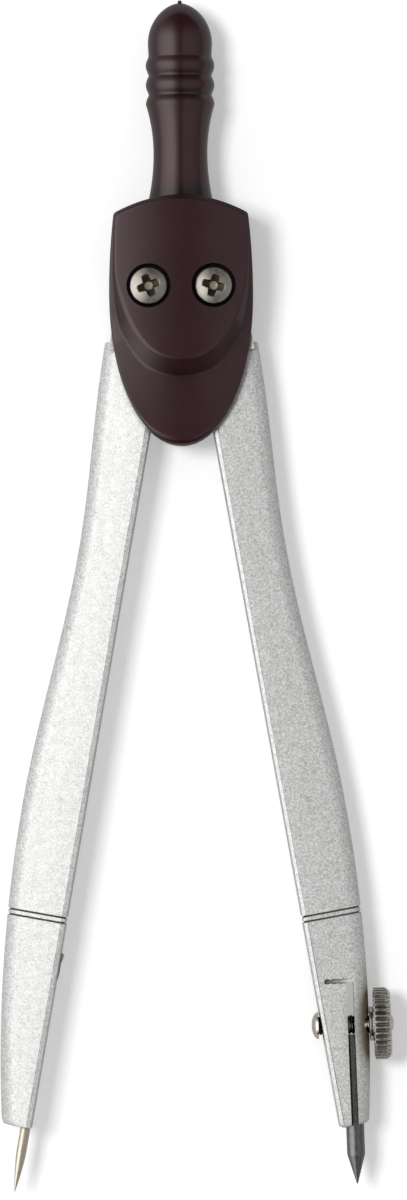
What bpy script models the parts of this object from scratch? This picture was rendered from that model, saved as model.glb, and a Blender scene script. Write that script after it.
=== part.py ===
"""A school drawing compass, lying on its back: the front of the head faces +Z, the handle points along +Y.

The legs turn on two bosses inside the head and mesh through cut teeth, so that the handle always halves the
angle between them. The lead leg ends in a slotted clamp with a cross screw and a knurled nut, the needle leg
holds a steel needle in a deep bore beside its inner edge. Lengths are in metres and angles in radians.
"""

import math

import bmesh
import bpy
from mathutils import Matrix, Vector

# Opening of the compass
OPEN_HALF_ANGLE = math.radians(10.0)
WIDEST_HALF_ANGLE = math.radians(50.0)
STOP_MARGIN_ANGLE = math.radians(1.5)

# Clearances
RUNNING_CLEARANCE = 0.00005
TOOTH_CLEARANCE = 0.00015
SEAT_GAP = 0.00002
CUT_OVERRUN = 0.0010
JOIN_OVERLAP = 0.0005

# Head: the outline of both covers, seen from the front
PIVOT_SPACING = 0.0072
HEAD_HALF_WIDTH = 0.00798
HEAD_CORNER_HALF_WIDTH = 0.00745
HEAD_CORNER_HEIGHT = 0.00805
HEAD_CROWN_HEIGHT = 0.01005
HEAD_WIDEST_DROP = 0.0010
HEAD_TIP_DROP = 0.01768
HEAD_FULLNESS = 2.05

# Raised shield on each cover
SHIELD_HALF_WIDTH = 0.00715
SHIELD_CORNER_HALF_WIDTH = 0.00728
SHIELD_CORNER_HEIGHT = 0.00782
SHIELD_CROWN_HEIGHT = 0.00947
SHIELD_WIDEST_HEIGHT = 0.0035
SHIELD_TIP_DROP = 0.0080
SHIELD_FULLNESS = 1.9
SHIELD_RISE = 0.00115
SHIELD_EDGE_ROUND = 0.00012
SHIELD_EDGE_DROP = 0.00004
COVE_WIDTH = 0.0019
LIP_WALL = 0.0012
LIP_EDGE_ROUND = 0.00022
LIP_TIP_BEVEL = 0.0010
LIP_TIP_BEVEL_DEPTH = 0.0007

# Legs
LEG_THICKNESS = 0.0040
LEG_LENGTH = 0.0946
LEG_INNER_REACH = 0.00297
LEG_SHOULDER_AT = 0.00685
LEG_SHOULDER_REACH = 0.00372
LEG_SHOULDER_ROUND = 0.0003
LEG_WAIST_AT = 0.0300
LEG_WAIST_REACH = 0.00274
LEG_BELLY_ABOVE_TOE = 0.0351
LEG_BELLY_REACH = 0.00415
LEG_TOE_REACH = 0.00038
LEAD_LEG_TOE_ROUND = 0.00045
NEEDLE_LEG_TOE_ROUND = 0.00008
LEG_OUTER_ROUND = 0.0019
LEG_CHAMFER_WIDTH = 0.00036
LEG_CHAMFER_DROP = 0.00015
LEG_INNER_DRAFT = 0.0002
LEG_FACE_SLOPE = math.radians(7.0)
BAND_ABOVE_TOE = 0.0241
BAND_WIDTH = 0.0009
BAND_DEPTH = 0.00022
BAND_RIDGE_DEPTH = 0.00006

# Toothed heads of the legs
PLATE_THICKNESS = 0.0036
PLATE_DISC_RADIUS = 0.0032
PLATE_NECK_INNER_REACH = 0.0022
TEETH_PER_TURN = 14
TOOTH_ADDENDUM = 0.00045
TOOTH_DEDENDUM = 0.00056
TOOTH_BACKLASH = 0.00007
PRESSURE_ANGLE = math.radians(25.0)
LEAD_LEG_TEETH = (-2, -1, 0, 1)
NEEDLE_LEG_TEETH = (-2.5, -1.5, -0.5, 0.5, 1.5)

# Pivots
BOSS_RADIUS = 0.00175
WASHER_THICKNESS = 0.00026
WASHER_RADIUS = 0.00285
PIVOT_SCREW_RADIUS = 0.0011
PIVOT_SCREW_LENGTH = 0.0060
PIVOT_HEAD_RADIUS = 0.00212
PIVOT_HEAD_HEIGHT = 0.00145
PIVOT_HEAD_SIDE = 0.0009
COUNTERBORE_RADIUS = 0.00244
COUNTERBORE_DEPTH = 0.0016
RECESS_REACH = 0.00128
RECESS_ARM_WIDTH = 0.00062
RECESS_DEPTH = 0.00115
RECESS_FLOOR_SHARE = 0.45
LEFT_RECESS_TURN = math.radians(20.0)
RIGHT_RECESS_TURN = math.radians(-15.0)

# Handle
HANDLE_TOP = 0.0315
HANDLE_DOME_RADIUS = 0.00357
HANDLE_DOME_AT = 0.0270
HANDLE_DOME_GROOVE_AT = 0.0256
HANDLE_GROOVE_RADIUS = 0.00344
HANDLE_BEAD_RADIUS = 0.00382
HANDLE_BEAD_LENGTH = 0.00215
HANDLE_WAIST_RADIUS = 0.0030
HANDLE_WAIST_AT = 0.0148
HANDLE_FOOT_RADIUS = 0.0037
GATE_MARK_RADIUS = 0.00022
GATE_MARK_HEIGHT = 0.00028
TANG_THICKNESS = 0.0040
TANG_STEM_WIDTH = 0.0050
TANG_FOOT_WIDTH = 0.0086
TANG_FOOT_LENGTH = 0.0014
TANG_FOOT_AT = 0.00485

# Needle, its bore and the casting mark above it
NEEDLE_RADIUS = 0.00056
NEEDLE_INSET = 0.00072
NEEDLE_BORE_DEPTH = 0.0140
NEEDLE_STICK_OUT = 0.0071
NEEDLE_POINT_LENGTH = 0.0046
NEEDLE_TIP_RADIUS = 0.00003
CASTING_MARK_ABOVE_TOE = 0.0200
CASTING_MARK_LENGTH = 0.0030
CASTING_MARK_HEIGHT = 0.0003
CASTING_MARK_WIDTH = 0.0012

# Lead clamp, placed on the crossing of the lead and the clamp screw
CLAMP_ABOVE_TOE = 0.0112
CLAMP_REACH = 0.00037
CLAMP_TILT = math.radians(-8.0)
SLOT_WIDTH = 0.0008
SLOT_TOP_ABOVE_SCREW = 0.00485
HINGE_NOTCH_WIDTH = 0.0005
HINGE_NOTCH_DEPTH = 0.0003
HINGE_NOTCH_ABOVE_SLOT = 0.0003
LEAD_RADIUS = 0.0010
LEAD_TO_SCREW_GAP = 0.00025
LEAD_STICK_OUT = 0.0065
LEAD_CONE_LENGTH = 0.0031
LEAD_TIP_RADIUS = 0.00008
CLAMP_SCREW_RADIUS = 0.0011
CLAMP_HEAD_RADIUS = 0.0015
CLAMP_HEAD_HEIGHT = 0.00075
CLAMP_SCREW_STICK_OUT = 0.0003
CLAMP_SCREW_END_CHAMFER = 0.00035
NUT_RADIUS = 0.0040
NUT_THICKNESS = 0.00192
NUT_CHAMFER = 0.0005
NUT_EDGE_BREAK = 0.00008
NUT_BOSS_RADIUS = 0.0019
NUT_BOSS_LENGTH = 0.00045
KNURL_COUNT = 36
KNURL_DEPTH = 0.00024

# Facets
ARCH_STEPS = 12
SIDE_STEPS = 5
LOWER_STEPS = 30
ROUND_STEPS = 32
HOLE_STEPS = 20
SHARP_ANGLE = math.radians(32.0)

# What follows from the sizes above
PITCH_RADIUS = PIVOT_SPACING / 2
TIP_RADIUS = PITCH_RADIUS + TOOTH_ADDENDUM
ROOT_RADIUS = PITCH_RADIUS - TOOTH_DEDENDUM
COVER_INNER = PLATE_THICKNESS / 2 + WASHER_THICKNESS + 2 * SEAT_GAP
LIP_TOP = COVER_INNER + LIP_WALL
SHIELD_TOP = LIP_TOP + SHIELD_RISE
MID_HEIGHT = SHIELD_TOP
SCREW_SEAT = SHIELD_TOP - COUNTERBORE_DEPTH
NEEDLE_REACH = -LEG_INNER_REACH + NEEDLE_INSET
LEG_BELLY_AT = LEG_LENGTH - LEG_BELLY_ABOVE_TOE
BAND_AT = LEG_LENGTH - BAND_ABOVE_TOE
CASTING_MARK_AT = LEG_LENGTH - CASTING_MARK_ABOVE_TOE
NEEDLE_TOP_AT = LEG_LENGTH - NEEDLE_BORE_DEPTH
NEEDLE_TIP_AT = LEG_LENGTH + NEEDLE_STICK_OUT
NEEDLE_POINT_AT = NEEDLE_TIP_AT - NEEDLE_POINT_LENGTH
CLAMP_AT = LEG_LENGTH - CLAMP_ABOVE_TOE
LEAD_TOP_BELOW_SCREW = CLAMP_SCREW_RADIUS + LEAD_TO_SCREW_GAP
LEAD_TIP_BELOW_SCREW = CLAMP_ABOVE_TOE + LEAD_STICK_OUT
LEAD_CONE_BELOW_SCREW = LEAD_TIP_BELOW_SCREW - LEAD_CONE_LENGTH


def clear_scene():
    for found in list(bpy.data.objects):
        bpy.data.objects.remove(found)


def finish(name, colour, roughness, metallic):
    material = bpy.data.materials.new(name)
    material.use_nodes = True
    shader = material.node_tree.nodes["Principled BSDF"]
    shader.inputs["Base Color"].default_value = (*colour, 1.0)
    shader.inputs["Roughness"].default_value = roughness
    shader.inputs["Metallic"].default_value = metallic
    material.diffuse_color = (*colour, 1.0)
    return material


def frame_at(name, parent, location, turn):
    """An empty whose origin lies on a joint's axis."""
    empty = bpy.data.objects.new(name, None)
    bpy.context.scene.collection.objects.link(empty)
    empty.parent = parent
    empty.location = location
    empty.rotation_euler = (0.0, 0.0, turn)
    return empty


def solid(name, body, material, parent):
    mesh = bpy.data.meshes.new(name)
    bmesh.ops.recalc_face_normals(body, faces=body.faces[:])
    body.to_mesh(mesh)
    body.free()
    mesh.materials.append(material)
    mesh.shade_smooth()
    mesh.set_sharp_from_angle(angle=SHARP_ANGLE)
    made = bpy.data.objects.new(name, mesh)
    bpy.context.scene.collection.objects.link(made)
    made.parent = parent
    return made


def apply_boolean(target, cutter, operation):
    """Cuts or joins cutter, which then stays in the file only as a wire helper."""
    cutter.hide_render = True
    cutter.display_type = "WIRE"
    modifier = target.modifiers.new(f"{operation.lower()} {cutter.name}", "BOOLEAN")
    modifier.operation = operation
    modifier.object = cutter


def skin(rings, closed_round=False):
    """Rings of equally many points, joined one to the next. The ends get caps, or meet when closed_round."""
    body = bmesh.new()
    rows = [[body.verts.new(point) for point in ring] for ring in rings]
    pairs = list(zip(rows, rows[1:]))
    if closed_round:
        pairs.append((rows[-1], rows[0]))
    else:
        body.faces.new(rows[0])
        body.faces.new(reversed(rows[-1]))
    count = len(rows[0])
    for near, far in pairs:
        for i in range(count):
            k = (i + 1) % count
            body.faces.new((near[k], near[i], far[i], far[k]))
    return body


def prism(outline, low, high):
    """A flat outline drawn up from low to high."""
    body = bmesh.new()
    base = body.faces.new([body.verts.new((x, y, low)) for x, y in outline])
    drawn = bmesh.ops.extrude_face_region(body, geom=[base])
    top = [item for item in drawn["geom"] if isinstance(item, bmesh.types.BMVert)]
    bmesh.ops.translate(body, verts=top, vec=(0.0, 0.0, high - low))
    return body


def turned(profile, steps, axis):
    """A profile of (radius, height) pairs from axis to axis, turned round the Y, X or Z axis."""
    body = bmesh.new()
    across = Vector((1.0, 0.0, 0.0)) if axis.x == 0 else Vector((0.0, 1.0, 0.0))
    points = [body.verts.new(across * radius + axis * height) for radius, height in profile]
    edges = [body.edges.new(pair) for pair in zip(points, points[1:])]
    bmesh.ops.spin(
        body, geom=points + edges, cent=(0.0, 0.0, 0.0), axis=axis, steps=steps, angle=math.tau, use_merge=True
    )
    bmesh.ops.remove_doubles(body, verts=body.verts[:], dist=SEAT_GAP / 100)
    return body


def circle(radius, steps, centre=(0.0, 0.0)):
    turns = [math.tau * i / steps for i in range(steps)]
    return [(centre[0] + radius * math.cos(t), centre[1] + radius * math.sin(t)) for t in turns]


def cylinder(radius, start, end, steps, axis):
    return turned([(0.0, start), (radius, start), (radius, end), (0.0, end)], steps, axis)


X_AXIS = Vector((1.0, 0.0, 0.0))
Y_AXIS = Vector((0.0, 1.0, 0.0))
Z_AXIS = Vector((0.0, 0.0, 1.0))


def arch_height(x, crown, corner_height, corner_half_width):
    return crown - (crown - corner_height) * (x / corner_half_width) ** 2


def shield_outline(crown, corner_width, corner_height, half_width, widest_height, tip, fullness):
    """Arched top, slightly swelling sides and a pointed oval below, drawn against the clock from the top right."""
    points = []
    for i in range(ARCH_STEPS):
        x = corner_width * (1 - 2 * i / ARCH_STEPS)
        points.append((x, arch_height(x, crown, corner_height, corner_width)))
    side = []
    for i in range(SIDE_STEPS):
        share = i / SIDE_STEPS
        x = half_width - (half_width - corner_width) * (1 - share) ** 2
        side.append((x, corner_height + (widest_height - corner_height) * share))
    points += [(-x, y) for x, y in side]
    power = 2 / fullness
    for i in range(LOWER_STEPS):
        turn = math.pi * i / LOWER_STEPS
        along = abs(math.cos(turn)) ** power * math.copysign(1, math.cos(turn))
        points.append((-half_width * along, widest_height - (widest_height - tip) * math.sin(turn) ** power))
    points.append((half_width, widest_height))
    points += list(reversed(side[1:]))
    return points


def head_outline():
    return shield_outline(
        HEAD_CROWN_HEIGHT,
        HEAD_CORNER_HALF_WIDTH,
        HEAD_CORNER_HEIGHT,
        HEAD_HALF_WIDTH,
        -HEAD_WIDEST_DROP,
        -HEAD_TIP_DROP,
        HEAD_FULLNESS,
    )


def raised_outline():
    return shield_outline(
        SHIELD_CROWN_HEIGHT,
        SHIELD_CORNER_HALF_WIDTH,
        SHIELD_CORNER_HEIGHT,
        SHIELD_HALF_WIDTH,
        SHIELD_WIDEST_HEIGHT,
        -SHIELD_TIP_DROP,
        SHIELD_FULLNESS,
    )


COVE_SHARES = (0.10, 0.28, 0.52, 0.76, 1.0)
COVE_ROOM_SHARE = 0.8
EDGE_ROOM_SHARE = 0.5


def cove_drop(distance):
    """How far the face has fallen at this distance outside the shield: a quarter round, then level."""
    inward = max(0.0, 1 - distance / COVE_WIDTH)
    return SHIELD_EDGE_DROP + (SHIELD_RISE - SHIELD_EDGE_DROP) * math.sqrt(1 - inward**2)


def cover_rings():
    """Rings of one cover for the +Z side: from the shield's flat face over the cove and the lip to the parting."""
    columns = []
    for outer, inner in zip(head_outline(), raised_outline()):
        outer, inner = Vector(outer), Vector(inner)
        room = (outer - inner).length
        way = (outer - inner).normalized()
        at_tip = max(0.0, -outer.y / HEAD_TIP_DROP) ** 8
        edge = min(LIP_EDGE_ROUND + (LIP_TIP_BEVEL - LIP_EDGE_ROUND) * at_tip, room * EDGE_ROOM_SHARE)
        fall = LIP_EDGE_ROUND + (LIP_TIP_BEVEL_DEPTH - LIP_EDGE_ROUND) * at_tip
        column = [
            (inner - way * SHIELD_EDGE_ROUND, SHIELD_TOP),
            (inner, SHIELD_TOP - SHIELD_EDGE_DROP),
        ]
        cove = min(COVE_WIDTH, (room - edge) * COVE_ROOM_SHARE)
        for share in COVE_SHARES:
            column.append((inner + way * cove * share, SHIELD_TOP - cove_drop(cove * share)))
        for turn in (0.0, math.pi / 4, math.pi / 2):
            reach = room - edge * (1 - math.sin(turn))
            column.append((inner + way * reach, SHIELD_TOP - cove_drop(reach) - fall * (1 - math.cos(turn))))
        column.append((outer, SEAT_GAP / 2))
        columns.append([(place.x, place.y, height) for place, height in column])
    return [list(ring) for ring in zip(*columns)]


def mechanism_outline():
    """The space that the toothed heads and the swinging legs need between the covers."""
    stop = WIDEST_HALF_ANGLE + STOP_MARGIN_ANGLE
    pivot = Vector((PITCH_RADIUS, 0.0))
    disc = PLATE_DISC_RADIUS + TOOTH_CLEARANCE
    ceiling = TIP_RADIUS + TOOTH_CLEARANCE
    half = [Vector((pivot.x, ceiling))]
    steps = 8
    for i in range(steps + 1):
        turn = math.pi / 2 + (stop - math.pi / 2) * i / steps
        half.append(pivot + disc * Vector((math.cos(turn), math.sin(turn))))
    past = HEAD_HALF_WIDTH + CUT_OVERRUN
    last = half[-1]
    half.append(Vector((past, last.y - (past - last.x) / math.tan(stop))))
    half.append(Vector((past, -HEAD_TIP_DROP - CUT_OVERRUN)))
    right = [(p.x, p.y) for p in half]
    return [(-x, y) for x, y in right] + list(reversed(right))


def tang_outline(grown, top):
    """The handle's tang: a stem with a cross foot. grown is added all round, for the pocket."""
    stem, foot = TANG_STEM_WIDTH / 2 + grown, TANG_FOOT_WIDTH / 2 + grown
    low = TANG_FOOT_AT - grown
    shoulder = TANG_FOOT_AT + TANG_FOOT_LENGTH + grown
    right = [(foot, low), (foot, shoulder), (stem, shoulder), (stem, top)]
    return right + [(-x, y) for x, y in reversed(right)]


def pivot_places():
    return (("left", -PITCH_RADIUS), ("right", PITCH_RADIUS))


def make_cover(name, material, parent, side):
    """side is 1 for the front cover and -1 for the back one, the mirror image without the screw holes."""
    body = skin(cover_rings())
    if side < 0:
        bmesh.ops.scale(body, vec=(1.0, 1.0, -1.0), verts=body.verts[:])
    cover = solid(name, body, material, parent)
    low, high = sorted((-side * CUT_OVERRUN, side * COVER_INNER))
    space = solid(f"{name}_mechanism_space", prism(mechanism_outline(), low, high), material, parent)
    apply_boolean(cover, space, "DIFFERENCE")
    low, high = sorted((-side * CUT_OVERRUN, side * (TANG_THICKNESS / 2 + RUNNING_CLEARANCE)))
    tang = tang_outline(RUNNING_CLEARANCE, HEAD_CROWN_HEIGHT + CUT_OVERRUN)
    pocket = solid(f"{name}_tang_pocket", prism(tang, low, high), material, parent)
    apply_boolean(cover, pocket, "DIFFERENCE")
    return cover


def make_front_cover(material, parent):
    cover = make_cover("front_cover", material, parent, 1)
    for place, x in pivot_places():
        well = [
            (0.0, CUT_OVERRUN),
            (PIVOT_SCREW_RADIUS + RUNNING_CLEARANCE, CUT_OVERRUN),
            (PIVOT_SCREW_RADIUS + RUNNING_CLEARANCE, SCREW_SEAT),
            (COUNTERBORE_RADIUS, SCREW_SEAT),
            (COUNTERBORE_RADIUS, SHIELD_TOP + CUT_OVERRUN),
            (0.0, SHIELD_TOP + CUT_OVERRUN),
        ]
        cutter = solid(f"screw_well_{place}", turned(well, ROUND_STEPS, Z_AXIS), material, parent)
        cutter.location.x = x
        apply_boolean(cover, cutter, "DIFFERENCE")


def make_back_cover(material, parent):
    """The bosses that the legs turn on stand on this cover and reach the front one."""
    cover = make_cover("back_cover", material, parent, -1)
    for place, x in pivot_places():
        boss = cylinder(BOSS_RADIUS, -COVER_INNER - JOIN_OVERLAP, COVER_INNER - SEAT_GAP, ROUND_STEPS, Z_AXIS)
        post = solid(f"pivot_boss_{place}", boss, material, parent)
        post.location.x = x
        apply_boolean(cover, post, "UNION")
        end = SCREW_SEAT - PIVOT_SCREW_LENGTH - RUNNING_CLEARANCE
        hole = cylinder(PIVOT_SCREW_RADIUS + SEAT_GAP, end, COVER_INNER + CUT_OVERRUN, HOLE_STEPS, Z_AXIS)
        cutter = solid(f"screw_hole_{place}", hole, material, parent)
        cutter.location.x = x
        apply_boolean(cover, cutter, "DIFFERENCE")


def recess_ring(reach, width, height):
    """A cross with four equal arms."""
    half = width / 2
    points = []
    for quarter in range(4):
        turn = Matrix.Rotation(math.pi / 2 * quarter, 2)
        for x, y in ((reach, -half), (reach, half), (half, half)):
            corner = turn @ Vector((x, y))
            points.append((corner.x, corner.y, height))
    return points


def make_pivot_screws(material, parent):
    """Pan-head screws with a cross recess; the plain shank stands for the thread in the boss."""
    for (place, x), turn in zip(pivot_places(), (LEFT_RECESS_TURN, RIGHT_RECESS_TURN)):
        seat = SCREW_SEAT + SEAT_GAP
        side = seat + PIVOT_HEAD_SIDE
        crown = seat + PIVOT_HEAD_HEIGHT
        end = SCREW_SEAT - PIVOT_SCREW_LENGTH
        profile = [(0.0, end), (PIVOT_SCREW_RADIUS / 2, end), (PIVOT_SCREW_RADIUS, end + PIVOT_SCREW_RADIUS)]
        profile += [(PIVOT_SCREW_RADIUS, seat), (PIVOT_HEAD_RADIUS, seat)]
        steps = 6
        for i in range(steps + 1):
            t = math.pi / 2 * i / steps
            profile.append((PIVOT_HEAD_RADIUS * math.cos(t), side + (crown - side) * math.sin(t)))
        screw = solid(f"pivot_screw_{place}", turned(profile, ROUND_STEPS, Z_AXIS), material, parent)
        screw.location.x = x
        floor = crown - RECESS_DEPTH
        rings = [
            recess_ring(RECESS_REACH * RECESS_FLOOR_SHARE, RECESS_ARM_WIDTH * RECESS_FLOOR_SHARE, floor),
            recess_ring(RECESS_REACH, RECESS_ARM_WIDTH, crown),
            recess_ring(RECESS_REACH, RECESS_ARM_WIDTH, crown + CUT_OVERRUN),
        ]
        recess = solid(f"cross_recess_{place}", skin(rings), material, parent)
        recess.location.x = x
        recess.rotation_euler.z = turn
        apply_boolean(screw, recess, "DIFFERENCE")


def make_washers(material, parent):
    """Thin friction washers round the bosses, one on each face of each leg's toothed head."""
    bore = BOSS_RADIUS + RUNNING_CLEARANCE
    for place, x in pivot_places():
        for face, side in (("front", 1), ("back", -1)):
            near = side * (PLATE_THICKNESS / 2 + SEAT_GAP)
            far = near + side * WASHER_THICKNESS
            section = ((bore, near), (WASHER_RADIUS, near), (WASHER_RADIUS, far), (bore, far))
            rings = [[(px, py, height) for px, py in circle(radius, ROUND_STEPS)] for radius, height in section]
            washer = solid(f"friction_washer_{face}_{place}", skin(rings, closed_round=True), material, parent)
            washer.location.x = x


def handle_profile():
    """Radius and height up the grip: flared foot, waist, three beads, a grooved dome and the gate mark."""
    groove = HANDLE_DOME_GROOVE_AT
    bead_low = groove - 2.5 * HANDLE_BEAD_LENGTH
    foot = arch_height(HANDLE_FOOT_RADIUS, HEAD_CROWN_HEIGHT, HEAD_CORNER_HEIGHT, HEAD_CORNER_HALF_WIDTH)
    foot -= JOIN_OVERLAP
    profile = [(0.0, foot)]
    steps = 10
    for i in range(steps):
        height = foot + (bead_low - foot) * i / steps
        end, radius = (foot, HANDLE_FOOT_RADIUS) if height < HANDLE_WAIST_AT else (bead_low, HANDLE_BEAD_RADIUS)
        share = (height - HANDLE_WAIST_AT) / (end - HANDLE_WAIST_AT)
        profile.append((HANDLE_WAIST_RADIUS + (radius - HANDLE_WAIST_RADIUS) * share**2, height))
    scallop = HANDLE_BEAD_RADIUS - HANDLE_GROOVE_RADIUS
    steps = 15
    for i in range(steps + 1):
        share = 2.5 * i / steps
        height = bead_low + share * HANDLE_BEAD_LENGTH
        profile.append((HANDLE_GROOVE_RADIUS + scallop * abs(math.cos(math.pi * share)), height))
    steps = 9
    start = -math.acos(HANDLE_GROOVE_RADIUS / HANDLE_DOME_RADIUS)
    end = math.acos(GATE_MARK_RADIUS / HANDLE_DOME_RADIUS)
    for i in range(1, steps + 1):
        turn = start + (end - start) * i / steps
        reach = (HANDLE_TOP - HANDLE_DOME_AT) if turn > 0 else (HANDLE_DOME_AT - groove) / math.sin(-start)
        profile.append((HANDLE_DOME_RADIUS * math.cos(turn), HANDLE_DOME_AT + reach * math.sin(turn)))
    profile += [(GATE_MARK_RADIUS, HANDLE_TOP + GATE_MARK_HEIGHT), (0.0, HANDLE_TOP + GATE_MARK_HEIGHT)]
    return profile


def make_handle(material, parent):
    handle = solid("handle", turned(handle_profile(), ROUND_STEPS, Y_AXIS), material, parent)
    reach = HANDLE_FOOT_RADIUS + CUT_OVERRUN
    steps = 12
    seat = []
    for i in range(steps + 1):
        x = reach * (1 - 2 * i / steps)
        height = arch_height(x, HEAD_CROWN_HEIGHT, HEAD_CORNER_HEIGHT, HEAD_CORNER_HALF_WIDTH)
        seat.append((x, height + RUNNING_CLEARANCE))
    seat += [(-reach, TANG_FOOT_AT), (reach, TANG_FOOT_AT)]
    arch = solid("handle_seat", prism(seat, -reach, reach), material, parent)
    apply_boolean(handle, arch, "DIFFERENCE")
    tang = prism(
        tang_outline(0.0, HEAD_CROWN_HEIGHT + JOIN_OVERLAP), -TANG_THICKNESS / 2, TANG_THICKNESS / 2
    )
    apply_boolean(handle, solid("handle_tang", tang, material, parent), "UNION")


def ease(share):
    return (1 - math.cos(math.pi * share)) / 2


def leg_outer(at):
    """How far the outer edge stands from the pivot's line, at this distance down the leg."""
    if at < LEG_WAIST_AT:
        share = (at - LEG_SHOULDER_AT) / (LEG_WAIST_AT - LEG_SHOULDER_AT)
        return LEG_SHOULDER_REACH + (LEG_WAIST_REACH - LEG_SHOULDER_REACH) * ease(share)
    if at < LEG_BELLY_AT:
        share = (at - LEG_WAIST_AT) / (LEG_BELLY_AT - LEG_WAIST_AT)
        return LEG_WAIST_REACH + (LEG_BELLY_REACH - LEG_WAIST_REACH) * ease(share)
    share = (at - LEG_BELLY_AT) / (LEG_LENGTH - LEG_BELLY_AT)
    return LEG_BELLY_REACH + (LEG_TOE_REACH - LEG_BELLY_REACH) * share**2


BAND_SHARES = (0.0, 0.25, 0.5, 0.75, 1.0)
OUTER_ROOM_SHARE = 0.9


def leg_stations(toe_round):
    """(distance down the leg, inset of the section) from the shoulder to the toe."""
    stations = []
    steps = 3
    for i in range(steps):
        turn = math.pi / 2 * i / steps
        stations.append((LEG_SHOULDER_AT + LEG_SHOULDER_ROUND * math.sin(turn), LEG_SHOULDER_ROUND * math.cos(turn)))
    start = LEG_SHOULDER_AT + LEG_SHOULDER_ROUND
    steps = 18
    stations += [(start + (BAND_AT - start) * i / steps, 0.0) for i in range(steps)]
    for share, depth in zip(BAND_SHARES, (0.0, BAND_DEPTH, BAND_RIDGE_DEPTH, BAND_DEPTH, 0.0)):
        stations.append((BAND_AT + BAND_WIDTH * share, depth))
    start, end = BAND_AT + BAND_WIDTH, LEG_LENGTH - toe_round
    steps = 9
    stations += [(start + (end - start) * i / steps, 0.0) for i in range(1, steps)]
    steps = 3
    for i in range(steps + 1):
        turn = math.pi / 2 * i / steps
        stations.append((end + toe_round * math.sin(turn), toe_round * (1 - math.cos(turn))))
    return stations


def leg_section(at, inset, side):
    """The leg across: a narrow chamfer along the inner edge, a face that falls outwards, a full round."""
    half = LEG_THICKNESS / 2 - inset
    inner = -LEG_INNER_REACH + inset
    outer = leg_outer(at) - inset
    chamfer_start = inner + LEG_INNER_DRAFT
    face_start = chamfer_start + LEG_CHAMFER_WIDTH
    upper = [(chamfer_start, half - LEG_CHAMFER_DROP), (face_start, half)]
    round_width = min(LEG_OUTER_ROUND - inset, (outer - face_start) * OUTER_ROOM_SHARE)
    round_height = half - (outer - round_width - face_start) * math.tan(LEG_FACE_SLOPE)
    steps = 5
    for i in range(steps):
        turn = math.pi / 2 * i / steps
        upper.append((outer - round_width * (1 - math.sin(turn)), round_height * math.cos(turn)))
    across = [(inner, 0.0), *upper, (outer, 0.0), *[(x, -z) for x, z in reversed(upper)]]
    return [(side * x, -at, z) for x, z in across]


def involute(angle):
    return math.tan(angle) - angle


def tooth_flank(radius):
    """Half the angle that a tooth takes up at this radius."""
    base = PITCH_RADIUS * math.cos(PRESSURE_ANGLE)
    pressure = math.acos(min(1.0, base / max(radius, base)))
    at_pitch = (math.pi * PITCH_RADIUS / TEETH_PER_TURN - TOOTH_BACKLASH) / (2 * PITCH_RADIUS)
    return at_pitch + involute(PRESSURE_ANGLE) - involute(pressure)


def plate_outline(teeth, side):
    """The toothed head of a leg, drawn against the clock from its outer side, over the teeth to the inner neck."""
    steps = 10
    start = 0.0
    stop = math.pi - OPEN_HALF_ANGLE + (min(teeth) - 0.75) * math.tau / TEETH_PER_TURN
    points = []
    for i in range(steps + 1):
        turn = start + (stop - start) * i / steps
        points.append((PLATE_DISC_RADIUS * math.cos(turn), PLATE_DISC_RADIUS * math.sin(turn)))
    radii = [ROOT_RADIUS + (TIP_RADIUS - ROOT_RADIUS) * i / 4 for i in range(5)]
    for tooth in teeth:
        centre = math.pi - OPEN_HALF_ANGLE + tooth * math.tau / TEETH_PER_TURN
        rising = [(radius, centre - tooth_flank(radius)) for radius in radii]
        falling = [(radius, centre + tooth_flank(radius)) for radius in reversed(radii)]
        points += [(radius * math.cos(turn), radius * math.sin(turn)) for radius, turn in rising + falling]
    neck = math.pi + math.acos(PLATE_NECK_INNER_REACH / ROOT_RADIUS)
    points.append((ROOT_RADIUS * math.cos(neck), ROOT_RADIUS * math.sin(neck)))
    joined = -LEG_SHOULDER_AT - JOIN_OVERLAP - LEG_SHOULDER_ROUND
    points += [(-PLATE_NECK_INNER_REACH, joined), (PLATE_DISC_RADIUS, joined)]
    return [(side * x, y) for x, y in points]


def make_leg(name, teeth, toe_round, side, material, parent):
    """side is 1 for the leg on the right and -1 for its mirror image on the left."""
    sections = [leg_section(at, inset, side) for at, inset in leg_stations(toe_round)]
    leg = solid(name, skin(sections), material, parent)
    plate = prism(plate_outline(teeth, side), -PLATE_THICKNESS / 2, PLATE_THICKNESS / 2)
    apply_boolean(leg, solid(f"{name}_toothed_head", plate, material, parent), "UNION")
    bore = cylinder(BOSS_RADIUS + RUNNING_CLEARANCE, -LEG_THICKNESS, LEG_THICKNESS, ROUND_STEPS, Z_AXIS)
    apply_boolean(leg, solid(f"{name}_pivot_bore", bore, material, parent), "DIFFERENCE")
    return leg


def make_needle_leg(material, parent):
    """The needle's bore runs up beside the inner edge; above it stands what is left of the casting's feed."""
    leg = make_leg("needle_leg", NEEDLE_LEG_TEETH, NEEDLE_LEG_TOE_ROUND, -1, material, parent)
    upper, lower = -CASTING_MARK_AT, -CASTING_MARK_AT - CASTING_MARK_LENGTH
    root = LEG_INNER_REACH - JOIN_OVERLAP
    foot = LEG_INNER_REACH + SEAT_GAP
    crest = (LEG_INNER_REACH + CASTING_MARK_HEIGHT, upper - CASTING_MARK_HEIGHT)
    outline = [(root, upper), (root, lower), (foot, lower), crest, (foot, upper)]
    block = prism(outline, -CASTING_MARK_WIDTH / 2, CASTING_MARK_WIDTH / 2)
    apply_boolean(leg, solid("casting_mark", block, material, parent), "UNION")
    end = LEG_LENGTH + CUT_OVERRUN
    bore = cylinder(NEEDLE_RADIUS + SEAT_GAP, -end, -NEEDLE_TOP_AT + RUNNING_CLEARANCE, HOLE_STEPS, Y_AXIS)
    hole = solid("needle_bore", bore, material, parent)
    hole.location.x = -NEEDLE_REACH
    apply_boolean(leg, hole, "DIFFERENCE")


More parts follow.
